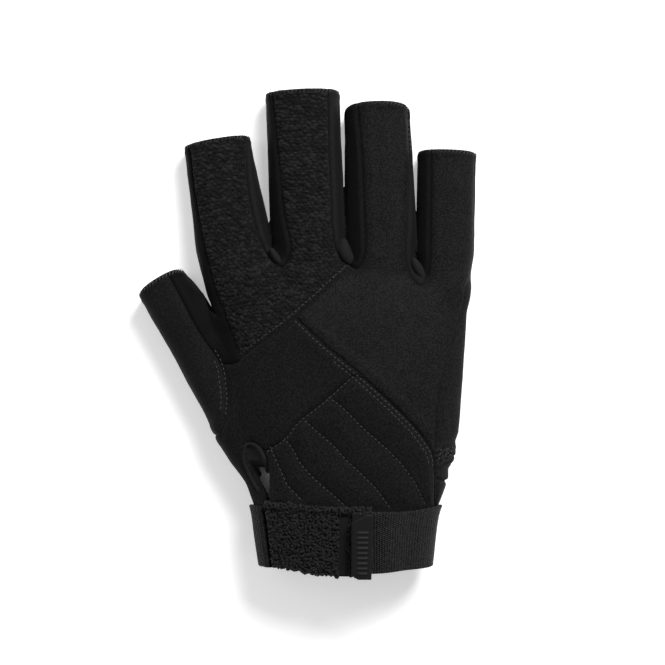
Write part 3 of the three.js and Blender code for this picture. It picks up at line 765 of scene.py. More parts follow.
class Panel:
    """One cut piece of the glove: its outer skin, and how far each point is from its edges."""

    def __init__(self, name, fine=True):
        used, flat = np.unique(faces[label == panel_names.index(name)], return_inverse=True)
        self.name, self.coarse = name, flat.reshape(-1, 3)
        self.inner_count = len(used)
        self.points, self.owner, self.faces = points[used], owner[used], self.coarse
        if fine:
            self.points, self.owner, self.faces = finer(points[used], owner[used], self.coarse)
        self.out = skin_direction(self.points, self.owner)
        edges, place, uses = edges_of(self.coarse, len(used))
        self.rim = np.vstack([np.stack([self.coarse[:, i], self.coarse[:, (i + 1) % 3],
                                        place[:, i] + len(used) if fine
                                        else self.coarse[:, (i + 1) % 3]],
                                       axis=1)[uses[place[:, i]] == 1] for i in range(3)])
        a, b = self.points[self.rim[:, 0]], self.points[self.rim[:, 1]]
        rim = np.vstack([a + (b - a) * t for t in (0, 0.33, 0.67)])
        rim_owner = np.tile(self.owner[self.rim[:, 0]], 3)
        open_edge = (np.abs(hem_distance(rim, rim_owner)) < 0.1) \
            | (np.abs(rim[:, 1] - cuff_end) < 0.05)
        self.seam = distance_to(self.points, rim[~open_edge])
        self.hem = -hem_distance(self.points, self.owner)
        self.tone = np.zeros(len(self.points))
        self.relief = self.shared_relief()

    def shared_relief(self):
        """Rolled seams, turned hems, sunk stitch rows, wrist folds and the wear of soft cloth."""
        p = self.points
        flat_side = 1 - 0.75 * np.clip((p[:, 0] - side_starts_at) / 4, 0, 1)
        rolled = -roll_depth * flat_side * np.clip(1 - self.seam / turned_edge, 0, 1) ** 2
        padded = padded_edge * flat_side * bell(self.seam - 3.4, 1.6)
        hem = -hem_turn * np.clip(1 - self.hem / 1.2, 0, 1) ** 2 \
            + hem_rise * bell(self.hem - 2, 1.2)
        middle, half = hand_at(p[:, 1])[:2]
        edge = np.clip((p[:, 0] - middle) / half, 0, 1) ** 4
        folds = sum(depth * np.clip(1 - np.abs(p[:, 1] - y) / fold_spread, 0, 1)
                    for y, depth in fold_depths)
        sunk = -stitch_sink * bell(row_distance(p, stitch_rows.values()), 0.75) \
            * (self.out[:, 2] > 0.2)
        uneven = 0.3 * unevenness(p, 16) + 0.13 * unevenness(p, 5.5, 40)
        valley = -valley_depth * bell(row_distance(p, [thumb_valley], 25), valley_width) \
            * np.clip(self.out[:, 2], 0, 1)
        return rolled + padded + hem + sunk + valley - folds * edge \
            + uneven * np.clip(self.seam / 3, 0, 1)

    def make(self, material):
        """The panel with its wall. Its outer skin is kept for what is sewn on it."""
        outside = self.points + self.out * self.relief[:, None]
        outside[:, 2] = np.maximum(outside[:, 2], 0.02)
        n = self.inner_count
        depth = cloth_wall - np.minimum(self.relief[:n], 0.3)
        lining = self.points[:n] - self.out[:n] * depth[:, None]
        outer_skins.append((outside, self.faces))
        return solid_piece(self.name + "_cloth", self.name, outside, lining, self.faces,
                           self.coarse, self.rim, material, self.tone)


outer_skins = []


def pattern_space(tree, size_mm):
    """Object coordinates in which one unit is a size in millimetres."""
    place = add_node(tree, "ShaderNodeTexCoord").outputs["Object"]
    return add_node(tree, "ShaderNodeVectorMath", [(0, place)], operation="SCALE",
                    Scale=1000 / size_mm).outputs[0]


def value_of(tree, operation, *given):
    """The result of a Math node, which is given numbers and other nodes' results."""
    node = add_node(tree, "ShaderNodeMath", operation=operation)
    for socket, source in zip(node.inputs, given):
        if isinstance(source, bpy.types.NodeSocket):
            tree.links.new(source, socket)
        else:
            socket.default_value = source
    return node.outputs[0]


def two_tones(tree, shader, dark, light, share, height, bump_mm):
    """Dyes a cloth between two tones by a share, and raises it a little by a height."""
    shade = add_node(tree, "ShaderNodeMix", [("Factor", share)], data_type="RGBA")
    shade.inputs["A"].default_value = linear(dark)
    shade.inputs["B"].default_value = linear(light)
    tree.links.new(shade.outputs["Result"], shader.inputs["Base Color"])
    bump = add_node(tree, "ShaderNodeBump", [("Height", height)], Distance=bump_mm / 1000)
    tree.links.new(bump.outputs["Normal"], shader.inputs["Normal"])


def cloth_finish(name, dark, light, roughness, sheen, yarn_mm, bump_mm, grain=0.5, grain_mm=0.9):
    """Dyed cloth: two tones that follow its grain and a tone given at each point, with painted
    light on some pieces; its yarn as a fine bump.
    """
    material, shader = new_material(name, dark, roughness)
    tree = material.node_tree
    shader.inputs["Specular IOR Level"].default_value = 0.1
    shader.inputs["Sheen Weight"].default_value = sheen
    shader.inputs["Sheen Roughness"].default_value = 0.5
    yarn = add_node(tree, "ShaderNodeTexVoronoi", [("Vector", pattern_space(tree, yarn_mm))],
                    Scale=1.0)
    cloudy, fine = [add_node(tree, "ShaderNodeTexNoise", [("Vector", pattern_space(tree, size))],
                             Scale=1.0, Detail=3.0).outputs["Fac"] for size in (11, grain_mm)]
    both = value_of(tree, "MULTIPLY_ADD", cloudy, 0.12, fine)
    spread = value_of(tree, "MULTIPLY_ADD", both, 3 * grain, 0.4 - 1.68 * grain)
    # The tone given at each point: on some pieces it holds painted highlights and painted shade.
    raised = add_node(tree, "ShaderNodeAttribute", attribute_name="tone")
    two_tones(tree, shader, dark, light, value_of(tree, "ADD", spread, raised.outputs["Fac"]),
              yarn.outputs["Distance"], bump_mm)
    return material


# Dyed polyester yarn in a raised knit, near black. The bumps are painted lighter as highlights and
# the hollows darker as shade, each bump by its own random amount. Its loops are about 0.5 mm.
knit_pitch, knit_row, knit_relief = 2.1, 1.35, 1.05
knit_fan_centre, knit_fan_reach = (-4.4, -203.8), 258.0


def knit_bumps(p):
    """Height and painted light of raised bumps, in staggered rows which fan out along two fingers.
    """
    chance = np.random.default_rng(11)
    column, row = np.meshgrid(np.arange(-50, 13), np.arange(106, 249))
    spots = np.stack([(column + (row % 2) / 2) * knit_pitch, row * knit_row], axis=-1)
    spots = (spots + chance.uniform(-0.42, 0.42, spots.shape)).reshape(-1, 2)
    size = chance.uniform(0.6, 1.15, len(spots))
    light = chance.uniform(0.0, 1.0, len(spots)) ** 1.3
    squash = knit_pitch / knit_row
    tree = tree_of([(x, y * squash, 0) for x, y in spots])
    dx, dy = p[:, 0] - knit_fan_centre[0], p[:, 1] - knit_fan_centre[1]
    around = np.arctan2(dx, dy) * knit_fan_reach
    found = [tree.find((a, b * squash, 0)) for a, b in zip(around, np.hypot(dx, dy))]
    near = np.array([f[1] for f in found])
    bump = np.clip(1 - np.array([f[2] for f in found]) / (1.35 * size[near]), 0, 1) ** 0.8
    return bump * size[near], bump * light[near]


knit = Panel("knit_back_panel")
bumps, bump_tone_and_painted_light = knit_bumps(knit.points)
full = np.clip(knit.seam / 1.2, 0, 1)
knit.relief += knit_relief * (bumps - 0.35) * full
# Painted light: each bump's random tone times its height, so the bump tops are painted lighter as
# highlights and the hollows darker as shade.
knit.tone = 1.7 * bump_tone_and_painted_light * full - 0.25
knit.make(cloth_finish("raised_polyester_knit", "#070707", "#202020", 0.85, 0.03, 0.5, 0.12,
                       0.9, 0.5))

# The neoprene back of the ring and little fingers: 2 mm foam rubber faced with smooth nylon
# jersey, so it is the smoothest and lightest of the blacks.
Panel("neoprene_back_panel").make(cloth_finish("nylon_faced_neoprene", "#050505", "#181818",
                                               0.7, 0.03, 0.5, 0.1, 3.0, 0.6))

# The lower back of the hand is plain stretch cloth, and the pad on the wrist is the same cloth
# over a few millimetres of foam. The four quilting rows pull the pad down into long cushions.
stretch_finish = cloth_finish("brushed_stretch_cloth", "#070707", "#181818", 0.88, 0.03, 0.55,
                              0.08, 1.2, 0.7)
Panel("hand_back_panel").make(stretch_finish)
quilt_spread, quilt_rise, quilt_sink = 4.2, 0.95, 0.3
pad = Panel("wrist_back_pad")
quilt_rows = [row for name, row in stitch_rows.items() if name.startswith("quilt")]
from_rows = np.minimum(row_distance(pad.points, quilt_rows), pad.seam)
above_strap = np.clip((pad.points[:, 1] + 57) / 4, 0, 1)
pad.relief += above_strap * (quilt_rise * (1 - bell(from_rows, quilt_spread))
                             - quilt_sink * bell(from_rows, 1.0))
pad_piece = pad.make(stretch_finish)

# The thumb's back and outer side are one piece of thin stretch jersey. It is sewn to the hand with
# a double row of stitches, where both pieces are turned in.
Panel("thumb_panel").make(cloth_finish("stretch_jersey", "#080808", "#1a1a1a", 0.82, 0.03, 0.5,
                                       0.08, 1.0, 0.7))

# The gusset between thumb and index finger and the fourchettes between the fingers are thin
# stretch cloth. Their seam allowances fill the edges, which stand up as narrow rolls.
side_finish = cloth_finish("smooth_stretch_lining_cloth", "#050505", "#1b1b1b", 0.8, 0.02, 0.4,
                           0.04, 0.3)
for name in ("thumb_index_gusset", "fourchette_index_middle", "fourchette_middle_ring",
             "fourchette_ring_little"):
    strip = Panel(name)
    if name == "thumb_index_gusset":
        # The gusset is painted darker all over than the fourchettes of the same cloth: partly a
        # darker cloth, partly painted shade, as it faces away from the light.
        strip.tone -= 0.6
    else:
        up = np.clip(strip.out[:, 2] * 2, 0, 1)
        roll = bell(strip.seam - 1.6, 1.1) * up
        strip.relief += 0.35 * roll
        # Painted light: the tops of the rolls are painted lighter as a highlight, and the sides
        # that face the thumb are painted darker as shade.
        strip.tone = 0.3 * roll - 0.6 * np.clip(-2 * strip.out[:, 0], 0, 1)
    strip.make(side_finish)

# The strip down the little-finger side and the palm are synthetic suede with a short nap. The
# side strip is gathered on elastic just above the strap, which puckers it.
suede = cloth_finish("synthetic_suede", "#0a0a0a", "#1e1e1e", 0.92, 0.04, 0.7, 0.08, 0.9, 0.8)
outer = Panel("outer_side_panel")
pucker = np.exp(-((outer.points[:, 0] - 41) / 5) ** 2 - ((outer.points[:, 1] + 35.5) / 4.0) ** 2)
zigzag = np.sin(2 * np.pi * (outer.points[:, 1] - 0.7 * outer.points[:, 0]
                             + 1.1 * unevenness(outer.points, 2.5)) / 2.4)
crease = -1.1 * bell(outer.points[:, 1] + 45.6 + 0.25 * (outer.points[:, 0] - 40), 0.8)
outer.relief += 0.55 * pucker * zigzag + crease * np.clip((outer.points[:, 0] - 36) / 2, 0, 1)
# Painted light: the crests of the puckers are painted lighter as zigzag highlights, and the troughs
# a little darker as shade.
outer.tone = 1.8 * pucker * np.clip(zigzag, 0, 1) - 0.3 * pucker
outer.make(suede)
Panel("palm_panel", fine=False).make(suede)


# At the foot of each gap the spare cloth of the fourchette stands up in a soft fold, and the
# gusset's seam to the palm shows as a thin roll down the inner edge of the thumb.
def plain_piece(name, node, shape, faces, material, tone=None):
    """A closed piece that needs no lining. It may stand for a solid."""
    tones = np.zeros(len(shape)) if tone is None else tone
    return in_place(name, cloth_mesh(name, shape, faces, material, tones, 50, True), node)


starts = np.cumsum([0] + [len(skin) for skin, _ in outer_skins])
skin_tree = BVHTree.FromPolygons(
    np.vstack([skin for skin, _ in outer_skins]).tolist(),
    np.vstack([skin_faces + start for start, (_, skin_faces) in zip(starts, outer_skins)]).tolist())


def on_skin(path, spread=2):
    """Places straight under a path seen from above, on the sewn glove, and the way out there."""
    hits = [skin_tree.ray_cast(Vector((x, y, 60)), Vector((0, 0, -1))) for x, y in path]
    kept = [hit for hit in hits if hit[0] is not None and hit[0].z > 3]
    places = np.array([hit[0] for hit in kept])
    ways = np.array([hit[1] for hit in kept])
    ways = sum(np.roll(ways, k, axis=0) for k in range(-spread, spread + 1))
    return places, ways / np.linalg.norm(ways, axis=1, keepdims=True)


def spindle(path, width, height, sides=14):
    """A soft fold along a path, swollen in the middle and tapered to both ends."""
    swell = np.maximum(np.sin(math.pi * np.linspace(0, 1, len(path))), 0.02) ** 0.45
    ahead = np.gradient(path, axis=0)
    side = np.stack([ahead[:, 1], -ahead[:, 0], 0 * swell], axis=1)
    side /= np.linalg.norm(side, axis=1, keepdims=True)
    turn = np.arange(sides) * 2 * math.pi / sides
    return tube_mesh(path[:, None] + side[:, None] * (np.cos(turn) * width * swell[:, None])
                     [..., None] + np.array([0, 0, 1.0])
                     * (np.sin(turn) * height * swell[:, None])[..., None])


for name, places, width in (
        ("index_middle_web_fold", ((-30.9, 50.6), (-28.6, 46.6), (-25.7, 43.2)), 1.6),
        ("middle_ring_web_fold", ((-0.8, 54.6), (0.2, 48.4), (4.8, 43.2)), 2.8),
        ("ring_little_web_fold", ((27.9, 46.5), (30.6, 41.6), (34.4, 36.0)), 2.0)):
    line = drawn_row(*places)
    beside = [on_skin([from_seam(line, aside)[30]], 0)[0][:, 2] for aside in (-3.6, 3.6)]
    rise = np.concatenate(beside).mean() - 1.2
    fold, fold_faces = spindle(np.column_stack([line, np.full(len(line), rise)]), width, 1.9)
    # The folds are painted lighter than the fourchettes of the same cloth, as a highlight.
    plain_piece(name, None, fold, fold_faces, side_finish,
                np.full(len(fold), 0.5))
thumb_edge = drawn_row((-67.0, 40.0), (-63.6, 36.2), (-60.5, 32.0), (-58.3, 28.9),
                       (-56.2, 25.8), (-53.8, 23.2))
roll, roll_faces = spindle(np.column_stack([thumb_edge, np.linspace(8.5, 10.5, len(thumb_edge))]),
                           0.95, 1.2)
# The roll is painted lighter than the gusset of the same cloth, as a highlight.
plain_piece("thumb_seam_roll", None, roll, roll_faces, side_finish,
            np.full(len(roll), 0.6))


# The slit at the wrist is bound with a narrow strip of cloth, folded over the raw edge and rolled.
# Through it shows the inside of the palm with a blank woven label.
def rolled_tape(path, widths, height, sides=12):
    """A tube round a closed path, with its own width at each place."""
    ahead = np.roll(path, -1, axis=0) - np.roll(path, 1, axis=0)
    ahead /= np.linalg.norm(ahead, axis=1, keepdims=True)
    side = np.cross(ahead, (0.0, 0.0, 1.0))
    side /= np.linalg.norm(side, axis=1, keepdims=True)
    turn = np.arange(sides) * 2 * math.pi / sides
    rings = path[:, None] + side[:, None] * (np.cos(turn) * widths[:, None])[..., None] \
        + np.cross(side, ahead)[:, None] * (height * np.sin(turn))[:, None]
    return rings.reshape(-1, 3), grid_quads(len(path), sides, ring=True, loop=True)


def eased_step(value, low, high):
    """Softly from 0 at the low value up to 1 at the high one."""
    t = np.clip((value - low) / (high - low), 0, 1)
    return t * t * (3 - 2 * t)


def folded_leaf(path, heights, columns=9, thickness=0.7):
    """The flat fold of tape inside the roll: it covers the slit's top and narrows to its point."""
    lowest, highest = np.argmin(path[:, 1]), np.argmax(path[:, 1])
    n = len(path)
    one = np.arange(highest, highest + (lowest - highest) % n + 1) % n
    two = np.arange(highest, highest - (highest - lowest) % n - 1, -1) % n
    left, right = (one, two) if path[one, 0].mean() < path[two, 0].mean() else (two, one)
    y = np.linspace(path[highest, 1] - 0.3, path[lowest, 1] + 1.5, 40)
    sides = [[np.interp(-y, -path[way, 1], values[way]) for values in (path[:, 0], heights)]
             for way in (left, right)]
    down = slit_middle[1] + 2.3 - y
    cover = 1 - 0.45 * eased_step(down, 0, 1.0) * np.clip(1 - (down - 1) / 11.7, 0, 1)
    share = np.linspace(0, 1, columns)[None, :]
    x = sides[0][0][:, None] + (sides[1][0] - sides[0][0])[:, None] * cover[:, None] * share
    z = sides[0][1][:, None] + (sides[1][1] - sides[0][1])[:, None] * cover[:, None] * share \
        - 0.5 - 0.35 * np.sin(math.pi * share)
    top = np.stack([x, y[:, None] + 0 * x, z], axis=-1).reshape(-1, 3)
    quads = grid_quads(len(y), columns)
    edge = np.concatenate([np.arange(columns - 1), np.arange(1, len(y)) * columns - 1,
                           len(y) * columns - 1 - np.arange(columns - 1),
                           (len(y) - 1 - np.arange(len(y) - 1)) * columns])
    after = np.roll(edge, -1)
    m = len(top)
    return (np.vstack([top, top - (0, 0, thickness)]),
            np.vstack([quads, quads[:, ::-1] + m, np.stack([edge, after, after + m, edge + m],
                                                           axis=1)]))


binding_path = slit_outline(binding_width - 0.3)
binding_places = on_skin(slit_outline(binding_width + 0.6), 4)[0]
binding_heights = np.array([binding_places[np.argmin(np.hypot(*(binding_places[:, :2] - q).T)), 2]
                            for q in binding_path])
binding_heights = np.convolve(np.pad(binding_heights, 6, mode="wrap"), np.ones(13) / 13, "valid")
on_thumb_side = eased_step(slit_middle[0] + 1.2 - binding_path[:, 0], 0, 1.6)
on_thumb_side = eased_step(slit_middle[0] + 1.2 - binding_path[:, 0], 0, 1.6)
tube, tube_faces = rolled_tape(np.column_stack([binding_path, binding_heights - 0.35]),
                               0.9 - 0.2 * on_thumb_side, 1.05)
binding_finish = cloth_finish("folded_binding_tape", "#0e0e0e", "#222222", 0.7, 0.04, 0.5, 0.05)
leaf, leaf_faces = folded_leaf(binding_path, binding_heights)
plain_piece("slit_binding_tape", "slit_binding", np.vstack([tube, leaf]),
            np.vstack([tube_faces, leaf_faces + len(tube)]), binding_finish)

label_thickness = 0.5
label_y = np.linspace(-0.386, -0.295, 16) * hand_length
label_turns = np.linspace(2 * math.pi - math.acos(-(0.985 ** (under_roundness / 2))),
                          2 * math.pi - math.acos(-(0.72 ** (under_roundness / 2))), 14)


def spot_on_cuff(y, turn, lift):
    """A place on the hand's section at y: a turn of 0 is the little-finger side, and it runs up."""
    middle, half, top, low, _ = hand_at(y)
    power = np.where(np.sin(turn) > 0, top_roundness, under_roundness)
    c, s = np.cos(turn), np.sin(turn)
    return np.stack([middle + (half + lift) * np.sign(c) * np.abs(c) ** (2 / power), y,
                     (low + top) / 2 + ((top - low) / 2 + lift)
                     * np.sign(s) * np.abs(s) ** (2 / power)], axis=-1)


def halves(quads):
    """Each face with four corners as two triangles."""
    return np.vstack([quads[:, [0, 1, 2]], quads[:, [0, 2, 3]]])


def sheet_piece(name, node, outside, lining, triangles, material, tone=None, run=None):
    """A closed piece between two like skins of triangles."""
    edges, place, uses = edges_of(triangles, len(outside))
    rim = np.vstack([np.stack([triangles[:, i], triangles[:, (i + 1) % 3],
                               triangles[:, (i + 1) % 3]], axis=1)[uses[place[:, i]] == 1]
                     for i in range(3)])
    return solid_piece(name, node, outside, lining, triangles, triangles, rim, material,
                       tone, run)


def grid_piece(name, node, outside, lining, material, tone=None, run=None):
    """A closed piece between two grids of points, rows by columns."""
    quads = grid_quads(*outside.shape[:2])
    way = np.cross(outside[0, 1] - outside[0, 0], outside[1, 0] - outside[0, 0])
    if way @ (outside[0, 0] - lining[0, 0]) < 0:
        quads = quads[:, ::-1]
    return sheet_piece(name, node, outside.reshape(-1, 3), lining.reshape(-1, 3), halves(quads),
                       material, tone, run)


label_finish = cloth_finish("woven_satin_label", "#e2e2e2", "#ffffff", 0.6, 0.1, 0.6, 0.05)
y_grid, turn_grid = np.meshgrid(label_y, label_turns, indexing="ij")
label_rise = 7.0
label_curl = label_rise * np.sin(np.linspace(0.1, math.pi - 0.1, turn_grid.shape[1]))[None, :]
grid_piece("blank_label", "inner_label",
           spot_on_cuff(y_grid, turn_grid, -wall - 0.3 - label_thickness - label_curl),
           spot_on_cuff(y_grid, turn_grid, -wall - 0.3 - label_curl), label_finish)

# The loop half of the hook-and-loop closing covers the back of the cuff: nylon loops 1 mm high on
# a woven ground, with a rolled upper edge. Its lower edge hangs down towards the pull tab.
webbing_width = 25.0
webbing_thickness = 1.6
pile_thickness = 1.8
layer_gap = 0.3
strap_droop = 2.2
pile_overhang = 1.5
strap_top = cuff_end + 0.5 + webbing_width
pile_ground = 0.9


def turn_of(share):
    """The turn at a share of the half width, on the back of the hand."""
    return math.acos(math.copysign(abs(share) ** (top_roundness / 2), share))


def even_turns(start, end, step):
    """Turns from start to end, about the same distance in millimetres apart."""
    fine = np.linspace(start, end, 1500)
    run = spot_on_cuff(np.full(1500, -70.0), fine, 1.5)
    length = np.concatenate([[0], np.cumsum(np.linalg.norm(np.diff(run, axis=0), axis=1))])
    marks = np.linspace(0, length[-1], int(length[-1] / step) + 1)
    return np.interp(marks, length, fine), marks


turns, marks = even_turns(turn_of(0.27), turn_of(-0.84), 0.6)
down = eased_step(turn_of(-0.84) - turns, 0, turn_of(-0.84) - turn_of(0.055))
rows_up = np.linspace(0, 1, 44)[:, None]
bottom = strap_top - webbing_width - (strap_droop + pile_overhang) * down
top = strap_top + pile_overhang - strap_droop * down
y_grid = bottom + (top - bottom) * rows_up
turn_grid = np.broadcast_to(turns, y_grid.shape)
from_top = top - y_grid
from_edge = np.minimum(np.minimum(y_grid - bottom, from_top),
                       np.minimum(marks, marks[-1] - marks)[None, :])
pile_lift = layer_gap + pile_ground - 0.45 * np.clip(1 - from_edge / 0.7, 0, 1) ** 2 \
    + 0.9 * bell(from_top - 1.0, 0.7) - 0.35 * bell(from_top - 2.6, 0.5)
pile_outside = spot_on_cuff(y_grid, turn_grid, pile_lift)
pile_ground_finish = cloth_finish("loop_pile_ground", "#101010", "#1a1a1a", 0.9, 0.04, 0.6, 0.1)
grid_piece("cuff_loop_ground", "cuff_loop_panel", pile_outside,
           spot_on_cuff(y_grid, turn_grid, layer_gap), pile_ground_finish)

loop_size = 1.4
loop_thread = 1.15
loop_spacing = 1.1


def node_tree(name, inputs):
    """A Geometry Nodes tree with a geometry in and out, and named numbers."""
    tree = bpy.data.node_groups.new(name, "GeometryNodeTree")
    tree.interface.new_socket("Geometry", in_out="INPUT", socket_type="NodeSocketGeometry")
    tree.interface.new_socket("Geometry", in_out="OUTPUT", socket_type="NodeSocketGeometry")
    for label_text, kind in inputs.items():
        tree.interface.new_socket(label_text, in_out="INPUT", socket_type="NodeSocket" + kind)
    return tree, add_node(tree, "NodeGroupInput"), add_node(tree, "NodeGroupOutput")


def grown(carrier, tree, name, slot, **sizes):
    """What a tree grows on a carrier mesh, as a plain piece. The carrier goes."""
    modifier = carrier.modifiers.new("grow", "NODES")
    modifier.node_group = tree
    for item in tree.interface.items_tree:
        if item.in_out == "INPUT" and item.name in sizes:
            modifier[item.identifier] = sizes[item.name]
    mesh = bpy.data.meshes.new_from_object(
        carrier.evaluated_get(bpy.context.evaluated_depsgraph_get()))
    bpy.data.objects.remove(carrier)
    return in_place(name, mesh)


def carrier_of(shape, edges=(), quads=(), ways=None):
    """A mesh for a tree to grow on, with the way out at each place where that is given."""
    mesh = bpy.data.meshes.new("carrier")
    mesh.from_pydata((np.asarray(shape) / 1000).tolist(), list(edges), list(quads))
    if ways is not None:
        out = mesh.attributes.new("out", "FLOAT_VECTOR", "POINT")
        out.data.foreach_set("vector", np.asarray(ways).ravel())
    holder = bpy.data.objects.new("carrier", mesh)
    bpy.context.collection.objects.link(holder)
    return holder


def end_tree(tree, given, result, placed):
    """What a tree has placed becomes real, smooth and finished."""
    real = add_node(tree, "GeometryNodeRealizeInstances",
                    [("Geometry", placed.outputs["Instances"])])
    smooth = add_node(tree, "GeometryNodeSetShadeSmooth", [("Geometry", real.outputs[0])])
    finished = add_node(tree, "GeometryNodeSetMaterial", [
        ("Geometry", smooth.outputs[0]), ("Material", given.outputs["Finish"])])
    tree.links.new(finished.outputs[0], result.inputs[0])
    return tree


def loop_pile_tree():
    """Small open rings of thread, scattered evenly and turned every way, half sunk in."""
    tree, given, result = node_tree("loop_pile", {"Spacing": "Float", "Loop size": "Float",
                                                  "Thread": "Float", "Finish": "Material"})
    spots = add_node(tree, "GeometryNodeDistributePointsOnFaces", [
        ("Mesh", given.outputs["Geometry"]), ("Distance Min", given.outputs["Spacing"])],
        distribute_method="POISSON", Seed=7)
    spots.inputs["Density Max"].default_value = 4e6
    ring, round_thread = [add_node(tree, "GeometryNodeCurvePrimitiveCircle",
                                   [("Radius", given.outputs[radius])], Resolution=sides)
                          for radius, sides in (("Loop size", 7), ("Thread", 4))]
    loop = add_node(tree, "GeometryNodeCurveToMesh", [
        ("Curve", ring.outputs["Curve"]), ("Profile Curve", round_thread.outputs["Curve"])])
    turned = add_node(tree, "FunctionNodeRandomValue", data_type="FLOAT_VECTOR", Seed=11)
    turned.inputs["Min"].default_value = (0.5, -0.6, 0)
    turned.inputs["Max"].default_value = (1.7, 0.6, 6.28)
    size = add_node(tree, "FunctionNodeRandomValue", data_type="FLOAT", Seed=12)
    size.inputs[2].default_value, size.inputs[3].default_value = 0.75, 1.25
    return end_tree(tree, given, result, add_node(tree, "GeometryNodeInstanceOnPoints", [
        ("Points", spots.outputs["Points"]), ("Instance", loop.outputs["Mesh"]),
        ("Rotation", turned.outputs["Value"]), ("Scale", size.outputs[1])]))


pile_thread, pile_thread_shader = new_material("crimped_nylon_loops", "#101010", 0.7)
pile_thread_shader.inputs["Specular IOR Level"].default_value = 0.2
pile_thread_shader.inputs["Sheen Weight"].default_value = 0.05
# The loops are worn off in a band beside the tab.
bare_left, bare_right, bare_top = -2.9, 2.1, strap_top - 3
bare_band = (pile_outside[..., 0] > bare_left) & (pile_outside[..., 0] < bare_right) \
    & (pile_outside[..., 1] < bare_top)
cells = grid_quads(*pile_outside.shape[:2])[~bare_band[:-1, :-1].ravel()]
grown(carrier_of(spot_on_cuff(y_grid, turn_grid, pile_lift + 0.15).reshape(-1, 3),
                 quads=cells.tolist()), loop_pile_tree(), "cuff_pile_loops", "loop_pile",
      **{"Spacing": loop_spacing / 1000, "Loop size": loop_size / 2000,
         "Thread": loop_thread / 2000, "Finish": pile_thread})

# The strap is woven elastic: rubber cores wrapped in polyester, so it has fine ribs across it with
# a row of small picks on each, and a smooth selvedge. It starts at the cuff's cut on the thumb
# side, runs round under the palm and comes up to end at a slant under the pull tab.
rib_pitch = 1.2
pick_pitch = 0.8
strap_start = turn_of(-0.9) - 2 * math.pi
strap_turns, strap_marks = even_turns(strap_start, turn_of(0.02), 0.42)
rows_up = np.linspace(0, 1, 62)[:, None]
slant = np.interp(rows_up[:, 0], [0, 0.5, 1], [turn_of(0.1), turn_of(0.08), turn_of(0.06)])
near_end = eased_step(strap_turns, turn_of(0.6), strap_turns[-1])
turn_grid = strap_turns[None, :] + near_end[None, :] * (slant[:, None] - strap_turns[-1])
droop = strap_droop * eased_step(turn_grid, 0, turn_of(0.29))
climb = (pile_thickness + layer_gap) * eased_step(turn_grid, turn_of(0.72), turn_of(0.4))
y_grid = strap_top - droop - webbing_width * (1 - rows_up)
across_strap = webbing_width * rows_up + 0 * turn_grid
from_edge = np.minimum(np.minimum(across_strap, webbing_width - across_strap),
                       np.minimum(strap_marks, strap_marks[-1] - strap_marks)[None, :])
selvedge = np.clip(1 - (np.minimum(across_strap, webbing_width - across_strap) - 0.9) / 0.5, 0, 1)
fold_band = bell(strap_marks - np.interp(0.12, strap_turns, strap_marks), 3.0)[None, :]
ribbed = (1 - selvedge) * (1 - 0.8 * fold_band) \
    * (1 - eased_step(turn_grid, turn_of(0.24), turn_of(0.2)))
rib_phase = strap_marks[None, :] / rib_pitch + 0 * across_strap
ribs = 0.5 + 0.5 * np.cos(2 * np.pi * rib_phase)
edge_picks = selvedge * (0.5 + 0.5 * np.cos(2 * np.pi * strap_marks / 1.0))[None, :]
wave = 0.25 * np.sin(strap_marks / 5.1)[None, :] * (2 * rows_up - 1)
strap_lift = layer_gap + climb + webbing_thickness - 0.6 * np.clip(1 - from_edge / 0.6, 0, 1) ** 2 \
    + 0.1 * ribs * ribbed + 0.12 * edge_picks
strap_outside = spot_on_cuff(y_grid + wave, turn_grid, strap_lift)
strap_lining = spot_on_cuff(y_grid + wave, turn_grid, layer_gap + climb)
for surface, lowest in ((strap_outside, 0.02), (strap_lining, 0.4)):
    surface[..., 2] = np.maximum(surface[..., 2], lowest)


def webbing_finish(name, dark, light):
    """Woven elastic: light picks in columns on dark ribs. The UV map is in millimetres."""
    material, shader = new_material(name, dark, 0.65)
    tree = material.node_tree
    shader.inputs["Specular IOR Level"].default_value = 0.15
    place = add_node(tree, "ShaderNodeUVMap", uv_map="cloth")
    split = add_node(tree, "ShaderNodeSeparateXYZ", [(0, place.outputs[0])])
    column = value_of(tree, "MULTIPLY", split.outputs["X"], 2 * math.pi / rib_pitch)
    row = value_of(tree, "MULTIPLY", split.outputs["Y"], 2 * math.pi / pick_pitch)
    pick = value_of(tree, "COSINE", value_of(tree, "MULTIPLY_ADD", column, 0.5, row))
    dots = value_of(tree, "ADD", value_of(tree, "COSINE", column), pick)
    patchy = add_node(tree, "ShaderNodeTexNoise", [("Vector", pattern_space(tree, 0.9))],
                      Scale=1.0, Detail=2.0)
    chance = value_of(tree, "MULTIPLY_ADD", patchy.outputs["Fac"], 6, -2.4)
    raised = add_node(tree, "ShaderNodeAttribute", attribute_name="tone")
    woven = value_of(tree, "MULTIPLY", value_of(tree, "ADD", dots, chance),
                     raised.outputs["Fac"])
    two_tones(tree, shader, dark, light, value_of(tree, "ADD", woven, 0.2), woven, 0.15)
    return material


run = np.stack([(strap_marks[None, :] + 0 * across_strap).ravel(), across_strap.ravel()], axis=1)
grid_piece("elastic_wrist_strap", "wrist_strap", strap_outside, strap_lining,
           webbing_finish("woven_elastic_webbing", "#070707", "#262626"),
           (ribbed + edge_picks).ravel(), run)

# The pull tab is moulded rubber, sewn over the end of the strap, with its two outer corners cut
# off, its edges rounded and a column of grip ribs.
tab_thickness = 2.6
tab_edge = 0.7
tab_step = 0.33

